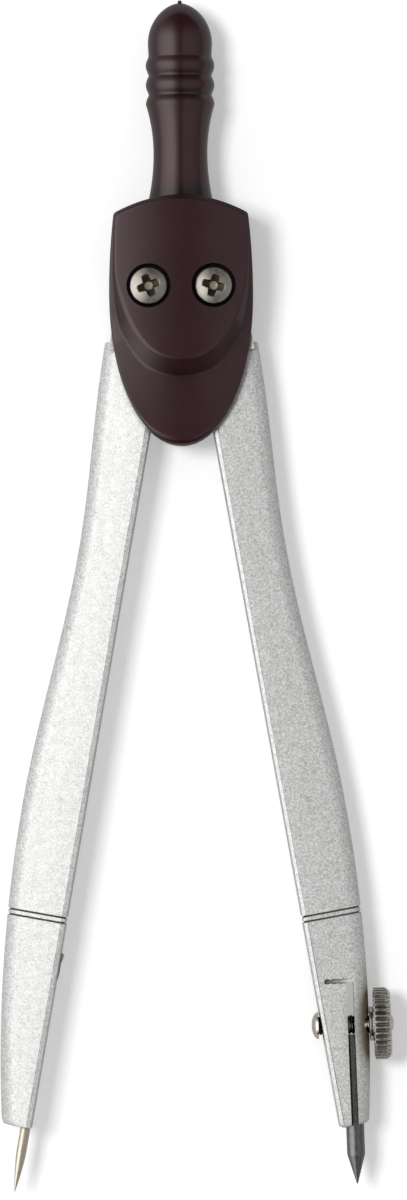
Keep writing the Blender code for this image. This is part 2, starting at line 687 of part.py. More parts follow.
def make_needle(material, parent):
    profile = [(0.0, -NEEDLE_TOP_AT), (NEEDLE_RADIUS, -NEEDLE_TOP_AT)]
    steps = 7
    for i in range(steps + 1):
        share = i / steps
        radius = NEEDLE_RADIUS + (NEEDLE_TIP_RADIUS - NEEDLE_RADIUS) * share**1.5
        profile.append((radius, -NEEDLE_POINT_AT - (NEEDLE_TIP_AT - NEEDLE_POINT_AT) * share))
    profile.append((0.0, -NEEDLE_TIP_AT))
    needle = solid("needle", turned(list(reversed(profile)), HOLE_STEPS, Y_AXIS), material, parent)
    needle.location.x = -NEEDLE_REACH


def make_lead_leg(material, parent, clamp):
    """The lower end is split in line with the lead; a notch on each face lets the inner jaw bend."""
    leg = make_leg("lead_leg", LEAD_LEG_TEETH, LEAD_LEG_TOE_ROUND, 1, material, parent)
    top = SLOT_TOP_ABOVE_SCREW
    end = -CLAMP_ABOVE_TOE - CUT_OVERRUN
    half = SLOT_WIDTH / 2
    past = LEG_THICKNESS / 2 + CUT_OVERRUN
    slot = prism([(half, end), (half, top), (-half, top), (-half, end)], -past, past)
    apply_boolean(leg, solid("clamp_slot", slot, material, clamp), "DIFFERENCE")
    bore = cylinder(LEAD_RADIUS + RUNNING_CLEARANCE, end, -CLAMP_SCREW_RADIUS, HOLE_STEPS, Y_AXIS)
    apply_boolean(leg, solid("lead_bore", bore, material, clamp), "DIFFERENCE")
    reach = LEG_INNER_REACH + LEG_BELLY_REACH
    cross = cylinder(CLAMP_SCREW_RADIUS + RUNNING_CLEARANCE, -reach, reach, HOLE_STEPS, X_AXIS)
    apply_boolean(leg, solid("clamp_screw_bore", cross, material, clamp), "DIFFERENCE")
    deep = LEG_THICKNESS / 2 - HINGE_NOTCH_DEPTH
    inner = -LEG_INNER_REACH - CLAMP_REACH + LEG_INNER_DRAFT + LEG_CHAMFER_WIDTH
    high_edge = top + HINGE_NOTCH_ABOVE_SLOT
    low_edge = high_edge - HINGE_NOTCH_WIDTH
    notch = [(SLOT_WIDTH, low_edge), (SLOT_WIDTH, high_edge), (inner, high_edge), (inner, low_edge)]
    for face, low, high in (("front", deep, past), ("back", -past, -deep)):
        cutter = solid(f"hinge_notch_{face}", prism(notch, low, high), material, clamp)
        apply_boolean(leg, cutter, "DIFFERENCE")


def make_lead(material, parent):
    profile = [
        (0.0, -LEAD_TIP_BELOW_SCREW),
        (LEAD_TIP_RADIUS, -LEAD_TIP_BELOW_SCREW),
        (LEAD_RADIUS, -LEAD_CONE_BELOW_SCREW),
        (LEAD_RADIUS, -LEAD_TOP_BELOW_SCREW),
        (0.0, -LEAD_TOP_BELOW_SCREW),
    ]
    solid("pencil_lead", turned(profile, ROUND_STEPS, Y_AXIS), material, parent)


def clamp_head_seat():
    """Where the screw head's underside lies: its upper rim all but touches the sloping inner edge of the leg."""
    slope = abs(CLAMP_TILT)
    rim = CLAMP_REACH + CLAMP_HEAD_RADIUS * math.sin(slope)
    return -(LEG_INNER_REACH + rim + RUNNING_CLEARANCE) / math.cos(slope)


def clamp_nut_seat():
    """Where the nut's boss stands off the outer edge of the leg, measured from the lead's axis."""
    slope = abs(CLAMP_TILT)
    seat = 0.0
    for _ in range(6):
        seat = (leg_outer(CLAMP_AT + seat * math.sin(slope)) - CLAMP_REACH) / math.cos(slope)
    return seat + RUNNING_CLEARANCE


def make_clamp_screw(material, parent):
    seat = clamp_head_seat()
    end = clamp_nut_seat() + NUT_BOSS_LENGTH + NUT_THICKNESS + CLAMP_SCREW_STICK_OUT
    steps = 6
    profile = []
    for i in range(steps + 1):
        turn = math.pi / 2 * i / steps
        profile.append((CLAMP_HEAD_RADIUS * math.sin(turn), seat - CLAMP_HEAD_HEIGHT * math.cos(turn)))
    profile += [
        (CLAMP_SCREW_RADIUS, seat),
        (CLAMP_SCREW_RADIUS, end - CLAMP_SCREW_END_CHAMFER),
        (CLAMP_SCREW_RADIUS - CLAMP_SCREW_END_CHAMFER, end),
        (0.0, end),
    ]
    solid("clamp_screw", turned(profile, ROUND_STEPS, X_AXIS), material, parent)


def knurl_ring(radius, depth, place):
    """A ring of straight ridges when depth isn't zero; the screw's axis is X."""
    points = []
    heights = (0.0, 1.0, 1.0, 0.0)
    for i in range(KNURL_COUNT * len(heights)):
        turn = math.tau * i / (KNURL_COUNT * len(heights))
        reach = radius - depth * (1 - heights[i % len(heights)])
        points.append((place, reach * math.cos(turn), reach * math.sin(turn)))
    return points


def make_knurled_nut(material, parent):
    seat = clamp_nut_seat()
    disc = seat + NUT_BOSS_LENGTH
    face = disc + NUT_THICKNESS
    bore = CLAMP_SCREW_RADIUS + RUNNING_CLEARANCE
    rings = [
        knurl_ring(bore, 0.0, seat),
        knurl_ring(NUT_BOSS_RADIUS, 0.0, seat),
        knurl_ring(NUT_BOSS_RADIUS, 0.0, disc),
        knurl_ring(NUT_RADIUS - KNURL_DEPTH - NUT_EDGE_BREAK, 0.0, disc),
        knurl_ring(NUT_RADIUS, KNURL_DEPTH, disc + NUT_EDGE_BREAK),
        knurl_ring(NUT_RADIUS, KNURL_DEPTH, face - NUT_CHAMFER),
        knurl_ring(NUT_RADIUS - KNURL_DEPTH, 0.0, face - NUT_CHAMFER + KNURL_DEPTH),
        knurl_ring(NUT_RADIUS - NUT_CHAMFER, 0.0, face),
        knurl_ring(bore, 0.0, face),
    ]
    solid("knurled_nut", skin(rings, closed_round=True), material, parent)


def build():
    clear_scene()
    plastic = finish("burgundy plastic", (0.045, 0.018, 0.022), 0.38, 0.0)
    silver = finish("silver paint", (0.62, 0.62, 0.60), 0.42, 0.6)
    nickel = finish("nickel plate", (0.60, 0.57, 0.52), 0.25, 1.0)
    graphite = finish("graphite", (0.06, 0.06, 0.06), 0.35, 0.3)
    fibre = finish("friction washer", (0.75, 0.72, 0.64), 0.6, 0.0)

    head = frame_at("head", None, (0.0, 0.0, MID_HEIGHT), 0.0)
    needle_pivot = frame_at("needle_leg_pivot", head, (-PITCH_RADIUS, 0.0, 0.0), -OPEN_HALF_ANGLE)
    lead_pivot = frame_at("lead_leg_pivot", head, (PITCH_RADIUS, 0.0, 0.0), OPEN_HALF_ANGLE)
    clamp = frame_at("clamp", lead_pivot, (CLAMP_REACH, -CLAMP_AT, 0.0), CLAMP_TILT)

    make_front_cover(plastic, head)
    make_back_cover(plastic, head)
    make_handle(plastic, head)
    make_pivot_screws(nickel, head)
    make_washers(fibre, head)
    make_needle_leg(silver, needle_pivot)
    make_needle(nickel, needle_pivot)
    make_lead_leg(silver, lead_pivot, clamp)
    make_lead(graphite, clamp)
    make_clamp_screw(nickel, clamp)
    make_knurled_nut(nickel, clamp)


build()
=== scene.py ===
# %% [markdown]
# # A school drawing compass, dressed for its picture
# The compass lies on its back and the camera looks straight down on it. Its measured solids are loaded
# first, as a frame that may not be changed. Every piece that shows is then made again over its solid,
# with the roundings, threads and finishes that a photograph shows. One could also only paint the solids,
# which is quicker, but their facets and sharp edges would give them away in the highlights.

import math

import bmesh
import bpy
from mathutils import Matrix, Vector


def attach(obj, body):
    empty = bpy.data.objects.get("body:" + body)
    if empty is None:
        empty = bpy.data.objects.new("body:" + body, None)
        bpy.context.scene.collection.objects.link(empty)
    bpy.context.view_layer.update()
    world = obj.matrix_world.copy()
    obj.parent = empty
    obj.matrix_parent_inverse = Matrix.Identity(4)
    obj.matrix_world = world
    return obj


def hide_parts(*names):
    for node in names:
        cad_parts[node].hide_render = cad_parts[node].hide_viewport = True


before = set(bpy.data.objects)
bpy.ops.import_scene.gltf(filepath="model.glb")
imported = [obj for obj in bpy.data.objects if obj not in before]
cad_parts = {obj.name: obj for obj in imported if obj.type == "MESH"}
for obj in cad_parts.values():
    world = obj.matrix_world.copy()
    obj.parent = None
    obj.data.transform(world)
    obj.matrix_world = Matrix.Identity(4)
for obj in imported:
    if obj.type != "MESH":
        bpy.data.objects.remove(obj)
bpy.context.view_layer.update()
print("nodes:", sorted(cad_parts))

# %% [markdown]
# ## Sizes come first
# A compass is small, so its sizes are written in millimetres and turned into metres once. The frame's
# origin lies on the table, midway between the two pivots, so the middle of the head is half its thickness
# above the table. Angles are written in degrees and turned into radians once.

# %% Millimetres and the compass's own frame
MM = 0.001
X_AXIS = Vector((1, 0, 0))
Y_AXIS = Vector((0, 1, 0))
Z_AXIS = Vector((0, 0, 1))

PIVOT = 3.6
OPENING = math.radians(10)
CLAMP_TILT = math.radians(-8)
MID_HEIGHT = 4.45

LEG_LENGTH = 94.6
CLAMP_ABOVE_TOE = 11.2
CLAMP_REACH = 0.37


def shifted(place, x, y=0, turn=0):
    """A place so far from another one, in its own directions, and turned about its own upright axis."""
    return place @ Matrix.Translation(Vector((x * MM, y * MM, 0))) @ Matrix.Rotation(turn, 4, "Z")


head_place = Matrix.Translation(Vector((0, 0, MID_HEIGHT * MM)))
left_leg_place = shifted(head_place, -PIVOT, turn=-OPENING)
right_leg_place = shifted(head_place, PIVOT, turn=OPENING)
clamp_place = shifted(right_leg_place, CLAMP_REACH, CLAMP_ABOVE_TOE - LEG_LENGTH, CLAMP_TILT)
print("clamp screw's axis crosses the lead at", [round(v / MM, 2) for v in clamp_place.translation])

# %% [markdown]
# ## Shaping tools
# Three ways of making a form cover this whole compass. A lathe form is a profile spun round an axis, a
# loft is a row of equal rings joined one to the next, and a stamped form is a flat outline given a
# thickness. Blender has modifiers for the first and the last, but making the faces directly keeps every
# point where the drawing says.

# %% Lofts, stampings and lathe forms
ON_AXIS = 1e-6


def new_piece(name, body_mesh, place):
    """Turns a bmesh drawn in millimetres into an object at that place."""
    bmesh.ops.scale(body_mesh, vec=(MM, MM, MM), verts=body_mesh.verts[:])
    bmesh.ops.recalc_face_normals(body_mesh, faces=body_mesh.faces[:])
    mesh = bpy.data.meshes.new(name)
    body_mesh.to_mesh(mesh)
    body_mesh.free()
    piece = bpy.data.objects.new(name, mesh)
    bpy.context.scene.collection.objects.link(piece)
    piece.matrix_world = place
    return piece


def loft(rings, ends_meet=False):
    """Rings of equally many points. The two ends get caps, or meet each other."""
    made = bmesh.new()
    rows = [[made.verts.new(point) for point in ring] for ring in rings]
    pairs = list(zip(rows, rows[1:]))
    if ends_meet:
        pairs.append((rows[-1], rows[0]))
    else:
        made.faces.new(rows[0])
        made.faces.new(reversed(rows[-1]))
    count = len(rows[0])
    for near, far in pairs:
        for i in range(count):
            k = (i + 1) % count
            made.faces.new((near[k], near[i], far[i], far[k]))
    return made


def stamp(outline, low, high):
    made = bmesh.new()
    base = made.faces.new([made.verts.new((x, y, low)) for x, y in outline])
    drawn = bmesh.ops.extrude_face_region(made, geom=[base])
    top = [item for item in drawn["geom"] if isinstance(item, bmesh.types.BMVert)]
    bmesh.ops.translate(made, verts=top, vec=(0, 0, high - low))
    return made


def lathe(profile, axis, sides=64):
    """A profile of (radius, place on the axis) pairs, spun round. It starts and ends on the axis, where its
    points become poles."""
    across = X_AXIS if axis.x == 0 else Y_AXIS
    made = bmesh.new()
    rows = []
    for radius, along in profile:
        if radius < ON_AXIS:
            rows.append([made.verts.new(axis * along)])
            continue
        ring = []
        for i in range(sides):
            spun = Matrix.Rotation(math.tau * i / sides, 3, axis) @ across
            ring.append(made.verts.new(spun * radius + axis * along))
        rows.append(ring)
    for near, far in zip(rows, rows[1:]):
        for i in range(sides):
            k = (i + 1) % sides
            corners = [near[i % len(near)], near[k % len(near)], far[k % len(far)], far[i % len(far)]]
            made.faces.new(list(dict.fromkeys(corners)))
    return made


def post(radius, start, end, axis, sides=48):
    return lathe([(0, start), (radius, start), (radius, end), (0, end)], axis, sides)


def evenly(start, end, count):
    """Values at equal steps from the start to the end, both with them."""
    return [start + (end - start) * i / count for i in range(count + 1)]


def corner_round(centre, radius, start, end, steps):
    """Points of an arc, with angles in degrees counted from the first axis towards the second."""
    turns = [math.radians(angle) for angle in evenly(start, end, steps)]
    return [(centre[0] + radius * math.cos(t), centre[1] + radius * math.sin(t)) for t in turns]


print("shaping tools ready")

# %% [markdown]
# ## Cutting and finishing tools
# A slot or a bore is cut with a Boolean. Its cutter is thrown away once the cut is in the mesh, so that
# nothing hidden is left in the file. A cast or moulded piece never has a knife edge, so its sharp corners
# get a small bevel, and weighted normals keep the flat faces flat right up to it.

# %% Booleans, edge rounding and the handing over to the frame
FACE_WEIGHT = 60


def bake(piece):
    """The piece's modifiers become its mesh."""
    graph = bpy.context.evaluated_depsgraph_get()
    mesh = bpy.data.meshes.new_from_object(piece.evaluated_get(graph))
    old = piece.data
    piece.modifiers.clear()
    piece.data = mesh
    bpy.data.meshes.remove(old)
    return piece


def combine(piece, other, how):
    step = piece.modifiers.new(how, "BOOLEAN")
    step.operation = how
    step.solver = "EXACT"
    step.object = other
    bpy.context.view_layer.update()
    bake(piece)
    bpy.data.objects.remove(other)
    return piece


def cut(piece, made, place):
    return combine(piece, new_piece("cutter", made, place), "DIFFERENCE")


def join(piece, made, place):
    return combine(piece, new_piece("joined", made, place), "UNION")


def ease_edges(piece, width, segments=2, angle=38):
    """Bevels every edge sharper than that angle, given in degrees."""
    bevel = piece.modifiers.new("eased edges", "BEVEL")
    bevel.width = width * MM
    bevel.segments = segments
    bevel.limit_method = "ANGLE"
    bevel.angle_limit = math.radians(angle)
    bevel.use_clamp_overlap = True
    bevel.miter_outer = "MITER_ARC"
    bpy.context.view_layer.update()
    return bake(piece)


def smooth(piece, sharp_angle=40):
    piece.data.shade_smooth()
    piece.data.set_sharp_from_angle(angle=math.radians(sharp_angle))
    weighted = piece.modifiers.new("flat faces stay flat", "WEIGHTED_NORMAL")
    weighted.keep_sharp = True
    weighted.weight = FACE_WEIGHT
    return piece


def hand_over(piece, finish, slot, body, *nodes):
    """Gives the piece its finish, and lets it stand for its solids on their body."""
    piece.data.materials.clear()
    piece.data.materials.append(finish)
    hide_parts(*nodes)
    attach(piece, body)
    size = piece.dimensions / MM
    print(f"{piece.name}: {len(piece.data.polygons)} faces, {size.x:.1f} x {size.y:.1f} x {size.z:.1f} mm")
    return piece


print("cutting and finishing tools ready")

# %% [markdown]
# ## The camera
# The photograph was taken from straight above with a long lens, so lines that run away from the camera
# hardly converge. A camera nearly a metre up with a 243 mm lens does the same. The picture's middle and
# its very small roll were measured against the two pivot screws and the two points.

# %% Camera
CAMERA_DISTANCE = 900
PICTURE_HEIGHT = 133.33
PICTURE_MIDDLE = (2.30, -34.83)
PICTURE_ROLL = math.radians(-0.3)
LONG_SIDE_OF_SENSOR = 36
NEAREST_METRES, FARTHEST_METRES = 0.01, 20

scene = bpy.context.scene
lens = bpy.data.cameras.new("camera")
lens.sensor_width = LONG_SIDE_OF_SENSOR
lens.lens = LONG_SIDE_OF_SENSOR * CAMERA_DISTANCE / PICTURE_HEIGHT
lens.clip_start, lens.clip_end = NEAREST_METRES, FARTHEST_METRES
camera = bpy.data.objects.new("camera", lens)
scene.collection.objects.link(camera)
camera.location = [length * MM for length in (*PICTURE_MIDDLE, CAMERA_DISTANCE + MID_HEIGHT)]
camera.rotation_euler = (0, 0, PICTURE_ROLL)
bpy.context.scene.camera = camera
print(f"lens {lens.lens:.0f} mm")

# %% [markdown]
# ## Node helpers
# Every finish below is a small tree of nodes. In the shader editor one adds a node, sets it and draws its
# links by hand. Here one call does all three, so that a finish reads as the list of its layers.

# %% Adding nodes and feeding them
def feed(tree, node, inputs):
    """Each input is a number, a colour, a direction or the output of another node."""
    for name, value in inputs.items():
        socket = node.inputs[name]
        if isinstance(value, bpy.types.NodeSocket):
            tree.links.new(value, socket)
        elif socket.type == "RGBA":
            socket.default_value = (*value, 1)
        else:
            socket.default_value = value


def add_node(tree, kind, inputs, **settings):
    made = tree.nodes.new("ShaderNode" + kind)
    for setting, value in settings.items():
        setattr(made, setting, value)
    feed(tree, made, inputs)
    return made


def maths(tree, operation, *values):
    """One sum, whose values are numbers or the outputs of other nodes."""
    return add_node(tree, "Math", dict(enumerate(values)), operation=operation).outputs[0]


def mix_colours(tree, factor, first, second, how="MIX"):
    """Goes from the first colour to the second as the factor goes from 0 to 1."""
    inputs = {"Factor": factor, "A": first, "B": second}
    return add_node(tree, "Mix", inputs, data_type="RGBA", blend_type=how).outputs["Result"]


def light_seen_by(tree, kinds):
    """1 for these kinds of ray and 0 for others."""
    path = add_node(tree, "LightPath", {}).outputs
    seen = path[kinds[0]]
    for kind in kinds[1:]:
        seen = maths(tree, "MAXIMUM", seen, path[kind])
    return seen


def new_finish(name):
    """A material, its tree of nodes and the shader at the end of them."""
    material = bpy.data.materials.new(name)
    material.use_nodes = True
    return material, material.node_tree, material.node_tree.nodes["Principled BSDF"]


print("node helpers ready")

# %% [markdown]
# ## The table
# The table is a plain white board that takes the soft grey shadow of every piece. What the camera sees of
# it gets a little brightness of its own, so that it comes out paper white. A brighter lamp would also do
# that, but it would wash out the silver legs. Where a piece mirrors the board it is darker, because the
# photograph's gloss shows it so.

# %% White table
TABLE_COLOUR, TABLE_MIRRORED, WHITE = (0.90, 0.90, 0.90), (0.10, 0.10, 0.10), (1.0, 1.0, 1.0)
TABLE_OWN_LIGHT = 0.30
TABLE_SIDE = 2400
SEEN_KINDS = ("Is Camera Ray", "Is Glossy Ray", "Is Transmission Ray")

board, tree, shader = new_finish("white table")
feed(tree, shader, {
    "Base Color": mix_colours(tree, light_seen_by(tree, ("Is Glossy Ray",)), TABLE_COLOUR, TABLE_MIRRORED),
    "Roughness": 0.9,
    "Specular IOR Level": 0.0,
    "Emission Color": WHITE,
    "Emission Strength": maths(tree, "MULTIPLY", light_seen_by(tree, SEEN_KINDS), TABLE_OWN_LIGHT),
})
board_mesh = bmesh.new()
bmesh.ops.create_grid(board_mesh, x_segments=1, y_segments=1, size=TABLE_SIDE / 2)
table = new_piece("table", board_mesh, Matrix.Identity(4))
table.data.materials.append(board)
print("table", TABLE_SIDE, "mm wide")

# %% [markdown]
# ## What the compass mirrors
# Dark plastic and bare metal show their surroundings as much as their own colour. In the photograph they
# show a room that is bright on the left, dark overhead, where the camera stands, and dim on the right. So
# the world has three looks, chosen by the kind of light ray: a plain grey that lights the pieces, those
# surroundings for rays that a piece mirrors, and white for what the camera sees past the table. A picture
# of a room could do it too, but three ramps of grey, one along each axis, are easy to turn and to match.

# %% Surroundings
DARK_SIDE = (0.87, -0.49, 0.0)
MIRRORED_WHITE = 1.6
LIT_BY = ((0.0, 0.54), (0.46, 0.36))
LEFT_TO_RIGHT = (
    (0.0, 1.0), (0.20, 1.0), (0.27, 0.92), (0.33, 0.63), (0.38, 0.32), (0.44, 0.14), (0.50, 0.05),
    (0.53, 0.035), (0.56, 0.10), (0.60, 0.21), (1.0, 0.21),
)
TOE_TO_GRIP = (
    (0.0, 0.1), (0.10, 0.12), (0.17, 0.5), (0.26, 1.0), (0.68, 1.0), (0.80, 0.45), (0.90, 0.15), (1.0, 0.10),
)
LEVEL_TO_ABOVE = ((0.50, 0.38), (0.55, 0.5), (0.61, 0.66), (0.70, 0.80), (0.84, 1.0), (1.0, 1.0))

scene.view_settings.view_transform = "Standard"
world = bpy.data.worlds.new("studio")
scene.world = world
world.use_nodes = True
tree = world.node_tree
tree.nodes.clear()
direction = add_node(tree, "TexCoord", {}).outputs["Generated"]


def sky(towards, stops):
    """Greys at places from 0, straight away from that direction, to 1, straight towards it."""
    near = add_node(tree, "VectorMath", {0: direction, 1: towards}, operation="DOT_PRODUCT").outputs["Value"]
    ramp = add_node(tree, "ValToRGB", {0: maths(tree, "MULTIPLY_ADD", near, 0.5, 0.5)})
    colours = ramp.color_ramp.elements
    while len(colours) < len(stops):
        colours.new(0.5)
    for element, (place, grey) in zip(colours, stops):
        element.position = place
        element.color = (grey, grey, grey, 1)
    return ramp.outputs[0]


mirrored = sky(X_AXIS, LEFT_TO_RIGHT)
for ramp in (sky(Y_AXIS, TOE_TO_GRIP), sky(Z_AXIS, LEVEL_TO_ABOVE)):
    mirrored = mix_colours(tree, 1.0, mirrored, ramp, "MULTIPLY")
brighter = add_node(tree, "VectorMath", {0: mirrored, "Scale": MIRRORED_WHITE}, operation="SCALE")
shown = mix_colours(tree, light_seen_by(tree, SEEN_KINDS), sky(DARK_SIDE, LIT_BY), brighter.outputs["Vector"])
shown = mix_colours(tree, light_seen_by(tree, ("Is Camera Ray",)), shown, WHITE)
surroundings = add_node(tree, "Background", {"Color": shown, "Strength": 1.0})
add_node(tree, "OutputWorld", {"Surface": surroundings.outputs[0]})
print("world of", len(tree.nodes), "nodes")

# %% [markdown]
# ## The lamps
# The shadows fall softly to the right, so one soft box hangs high on the left, 22 degrees from straight
# up. Only the paint mirrors it: its flakes light up towards it, while on the plastic it would be a hard
# white spot that the photograph doesn't have. So the soft box is left out of every gloss, and a second
# lamp at the same place is seen in nothing but the gloss of the pieces in one collection. That is called
# light linking. The legs join that collection once they are made.

# %% Soft box and the paint's gleam
LAMP_TILT, LAMP_TURN = math.radians(22), math.radians(161)
LAMP_DISTANCE, LAMP_SIDE = 1100, 290
KEY_POWER, GLEAM_POWER = 6.1, 6.5


def soft_box(name, power):
    """A square lamp that looks at the middle of the compass. It is tilted from the vertical, and turned round
    the table from +X towards +Y."""
    lamp = bpy.data.lights.new(name, "AREA")
    lamp.shape = "RECTANGLE"
    lamp.size = lamp.size_y = LAMP_SIDE * MM
    lamp.energy = power
    holder = bpy.data.objects.new(name, lamp)
    scene.collection.objects.link(holder)
    flat = math.sin(LAMP_TILT)
    way = Vector((flat * math.cos(LAMP_TURN), flat * math.sin(LAMP_TURN), math.cos(LAMP_TILT)))
    aim = Vector((0, PICTURE_MIDDLE[1] * MM, MID_HEIGHT * MM))
    holder.location = aim + way * LAMP_DISTANCE * MM
    holder.rotation_euler = way.to_track_quat("Z", "Y").to_euler()
    holder.visible_camera = False
    holder.visible_glossy = False
    return holder


soft_box("key soft box", KEY_POWER)
paint_gleam = soft_box("key soft box as the paint mirrors it", GLEAM_POWER)
paint_gleam.visible_glossy = True
paint_gleam.visible_diffuse = False
painted_pieces = bpy.data.collections.new("painted pieces")
paint_gleam.light_linking.receiver_collection = painted_pieces
print("two lamps ready")

# %% [markdown]
# ## Finishes
# Each finish starts from what the real surface is. The head and grip are dark burgundy plastic with the
# soft sheen of a mould, the legs are zinc castings under silver paint whose flakes make a fine grain, the
# screws and the nut are nickel plated, and the lead is graphite. The grain and the unevenness come from
# noise that is laid out in the piece's own coordinates, so it travels with the piece and is as fine as
# the real one. Where surfaces stand close together, shade is painted into the colour as a darker tone.
# It could be painted in by hand, but an ambient occlusion node finds those hollows by itself.

# %% Shared steps of the finishes
SHADE_SAMPLES = 8


def own_place(tree):
    return add_node(tree, "TexCoord", {}).outputs["Object"]


def noise(tree, scale, detail=2.0, roughness=0.5, stretch=None):
    """Noise with about that many grains per metre, in the piece's own coordinates."""
    place = own_place(tree)
    if stretch:
        place = add_node(tree, "Mapping", {"Vector": place, "Scale": stretch}).outputs["Vector"]
    inputs = {"Vector": place, "Scale": scale, "Detail": detail, "Roughness": roughness}
    return add_node(tree, "TexNoise", inputs).outputs["Fac"]


def blend_values(tree, factor, low, high, start=0.35, end=0.65):
    """A value that runs from low to high as the factor goes from start to end."""
    inputs = {"Value": factor, "From Min": start, "From Max": end, "To Min": low, "To Max": high}
    return add_node(tree, "MapRange", inputs).outputs["Result"]


def blend_colours(tree, factor, low, high, start=0.35, end=0.65):
    return mix_colours(tree, blend_values(tree, factor, 0.0, 1.0, start, end), low, high)


def painted_shade_in_hollows(tree, colour, shade_colour, reach, free_view):
    """Paints shade, turning the colour darker where other surfaces stand nearer than the reach. The free view
    is the share of directions left open: at its first value it is all painted shade, at its second untouched."""
    inputs = {"Distance": reach * MM}
    free = add_node(tree, "AmbientOcclusion", inputs, samples=SHADE_SAMPLES).outputs["AO"]
    return mix_colours(tree, blend_values(tree, free, 0.0, 1.0, *free_view), shade_colour, colour)


def bumps(tree, shader, *layers):
    """Stacks (height, depth in millimetres) layers of bump."""
    below = {}
    for height, depth in layers:
        inputs = {"Strength": 1.0, "Distance": depth * MM, "Height": height, **below}
        below = {"Normal": add_node(tree, "Bump", inputs).outputs["Normal"]}
    feed(tree, shader, below)


print("finish helpers ready")

# %% Burgundy plastic
PLASTIC_DARK, PLASTIC_LIGHT = (0.0255, 0.0070, 0.0096), (0.0305, 0.0086, 0.0120)
PLASTIC_SHEEN, PLASTIC_GLOSS = (0.20, 0.26), (1.0, 0.87, 0.885)
# The hollow colour is painted shade, a darker tone laid into the cove round the shield and other hollows.
HOLLOW_SHADE, HOLLOW_REACH, HOLLOW_VIEW = (0.0015, 0.0006, 0.0008), 2.0, (0.90, 0.995)
PLASTIC_CLOUDS, PLASTIC_WAVES, PLASTIC_SKIN, PLASTIC_SPECKS = 260, 420, 3800, 5200
WAVE_DEPTH, SKIN_DEPTH = 0.010, 0.0022


def burgundy_plastic():
    material, tree, shader = new_finish("burgundy plastic")
    colour = blend_colours(tree, noise(tree, PLASTIC_CLOUDS, 3.0), PLASTIC_DARK, PLASTIC_LIGHT)
    feed(tree, shader, {
        "Base Color": painted_shade_in_hollows(tree, colour, HOLLOW_SHADE, HOLLOW_REACH, HOLLOW_VIEW),
        "Roughness": blend_values(tree, noise(tree, PLASTIC_SPECKS), *PLASTIC_SHEEN),
        "IOR": 1.5,
        "Specular IOR Level": 0.9,
        "Specular Tint": PLASTIC_GLOSS,
    })
    waves, skin = noise(tree, PLASTIC_WAVES, 1.0), noise(tree, PLASTIC_SKIN, 3.0, 0.6)
    bumps(tree, shader, (waves, WAVE_DEPTH), (skin, SKIN_DEPTH))
    return material


plastic = burgundy_plastic()
print("made", plastic.name)

# %% Silver paint
PAINT_DARK, PAINT_LIGHT, PAINT_SHEEN = (0.42, 0.425, 0.415), (0.90, 0.905, 0.89), (0.45, 0.55)
# The groove colour is painted shade, darkening the band's grooves, the notch and other narrow hollows of the
# legs.
GROOVE_SHADE, GROOVE_REACH, GROOVE_VIEW = (0.11, 0.10, 0.085), 0.8, (0.30, 0.85)
PAINT_FLAKES, PAINT_CLOUDS = 4300, 1500
FLAKE_SHARE, CLOUD_SHARE = 0.8, 0.2
FLAKE_DEPTH, CLOUD_DEPTH = 0.016, 0.006


def silver_paint():
    material, tree, shader = new_finish("silver paint")
    flakes, clouds = noise(tree, PAINT_FLAKES, 2.0, 0.75), noise(tree, PAINT_CLOUDS, 3.0, 0.6)
    both = maths(tree, "MULTIPLY_ADD", flakes, FLAKE_SHARE, maths(tree, "MULTIPLY", clouds, CLOUD_SHARE))
    colour = blend_colours(tree, both, PAINT_DARK, PAINT_LIGHT, 0.32, 0.68)
    feed(tree, shader, {
        "Base Color": painted_shade_in_hollows(tree, colour, GROOVE_SHADE, GROOVE_REACH, GROOVE_VIEW),
        "Metallic": 0.27,
        "Roughness": blend_values(tree, flakes, *PAINT_SHEEN),
        "Specular IOR Level": 0.3,
    })
    bumps(tree, shader, (clouds, CLOUD_DEPTH), (flakes, FLAKE_DEPTH))
    return material


silver = silver_paint()
print("made", silver.name)

# %% Nickel plate, needle steel, graphite and washer plastic
NICKEL_DARK, NICKEL_LIGHT, NICKEL_SHEEN = (0.80, 0.75, 0.665), (0.95, 0.905, 0.825), (0.18, 0.28)
STEEL_DARK, STEEL_LIGHT, STEEL_SHEEN = (0.88, 0.79, 0.65), (0.97, 0.90, 0.77), (0.36, 0.46)
GRAPHITE_DARK, GRAPHITE_LIGHT, GRAPHITE_SHEEN = (0.19, 0.188, 0.186), (0.30, 0.296, 0.29), (0.22, 0.34)
WASHER_DARK, WASHER_LIGHT = (0.66, 0.63, 0.55), (0.78, 0.75, 0.67)
# The corner colour is painted shade, darkening the nut's knurl valleys, the screw in the saw cut and other
# tight corners.
CORNER_SHADE, CORNER_REACH, CORNER_VIEW = (0.022, 0.015, 0.010), 0.48, (0.44, 0.86)
NICKEL_GRAIN, STEEL_GRAIN, GRAPHITE_GRAIN, WASHER_GRAIN = 1800, 2400, 6000, 4000
ALONG_THE_LEAD = (1.0, 0.25, 1.0)


def bright_metal(name, dark, light, roughness, grain, depth):
    material, tree, shader = new_finish(name)
    stain = noise(tree, grain, 3.0, 0.6)
    colour = blend_colours(tree, stain, dark, light)
    feed(tree, shader, {
        "Base Color": painted_shade_in_hollows(tree, colour, CORNER_SHADE, CORNER_REACH, CORNER_VIEW),
        "Metallic": 1.0,
        "Roughness": blend_values(tree, stain, *roughness),
    })
    bumps(tree, shader, (stain, depth))
    return material


def graphite_finish():
    material, tree, shader = new_finish("graphite")
    grain = noise(tree, GRAPHITE_GRAIN, 4.0, 0.7, ALONG_THE_LEAD)
    feed(tree, shader, {
        "Base Color": blend_colours(tree, grain, GRAPHITE_DARK, GRAPHITE_LIGHT),
        "Metallic": 0.92,
        "Roughness": blend_values(tree, grain, *GRAPHITE_SHEEN),
    })
    bumps(tree, shader, (grain, 0.010))
    return material


def washer_finish():
    material, tree, shader = new_finish("washer plastic")
    colour = blend_colours(tree, noise(tree, WASHER_GRAIN), WASHER_DARK, WASHER_LIGHT)
    feed(tree, shader, {"Base Color": colour, "Roughness": 0.55})
    return material


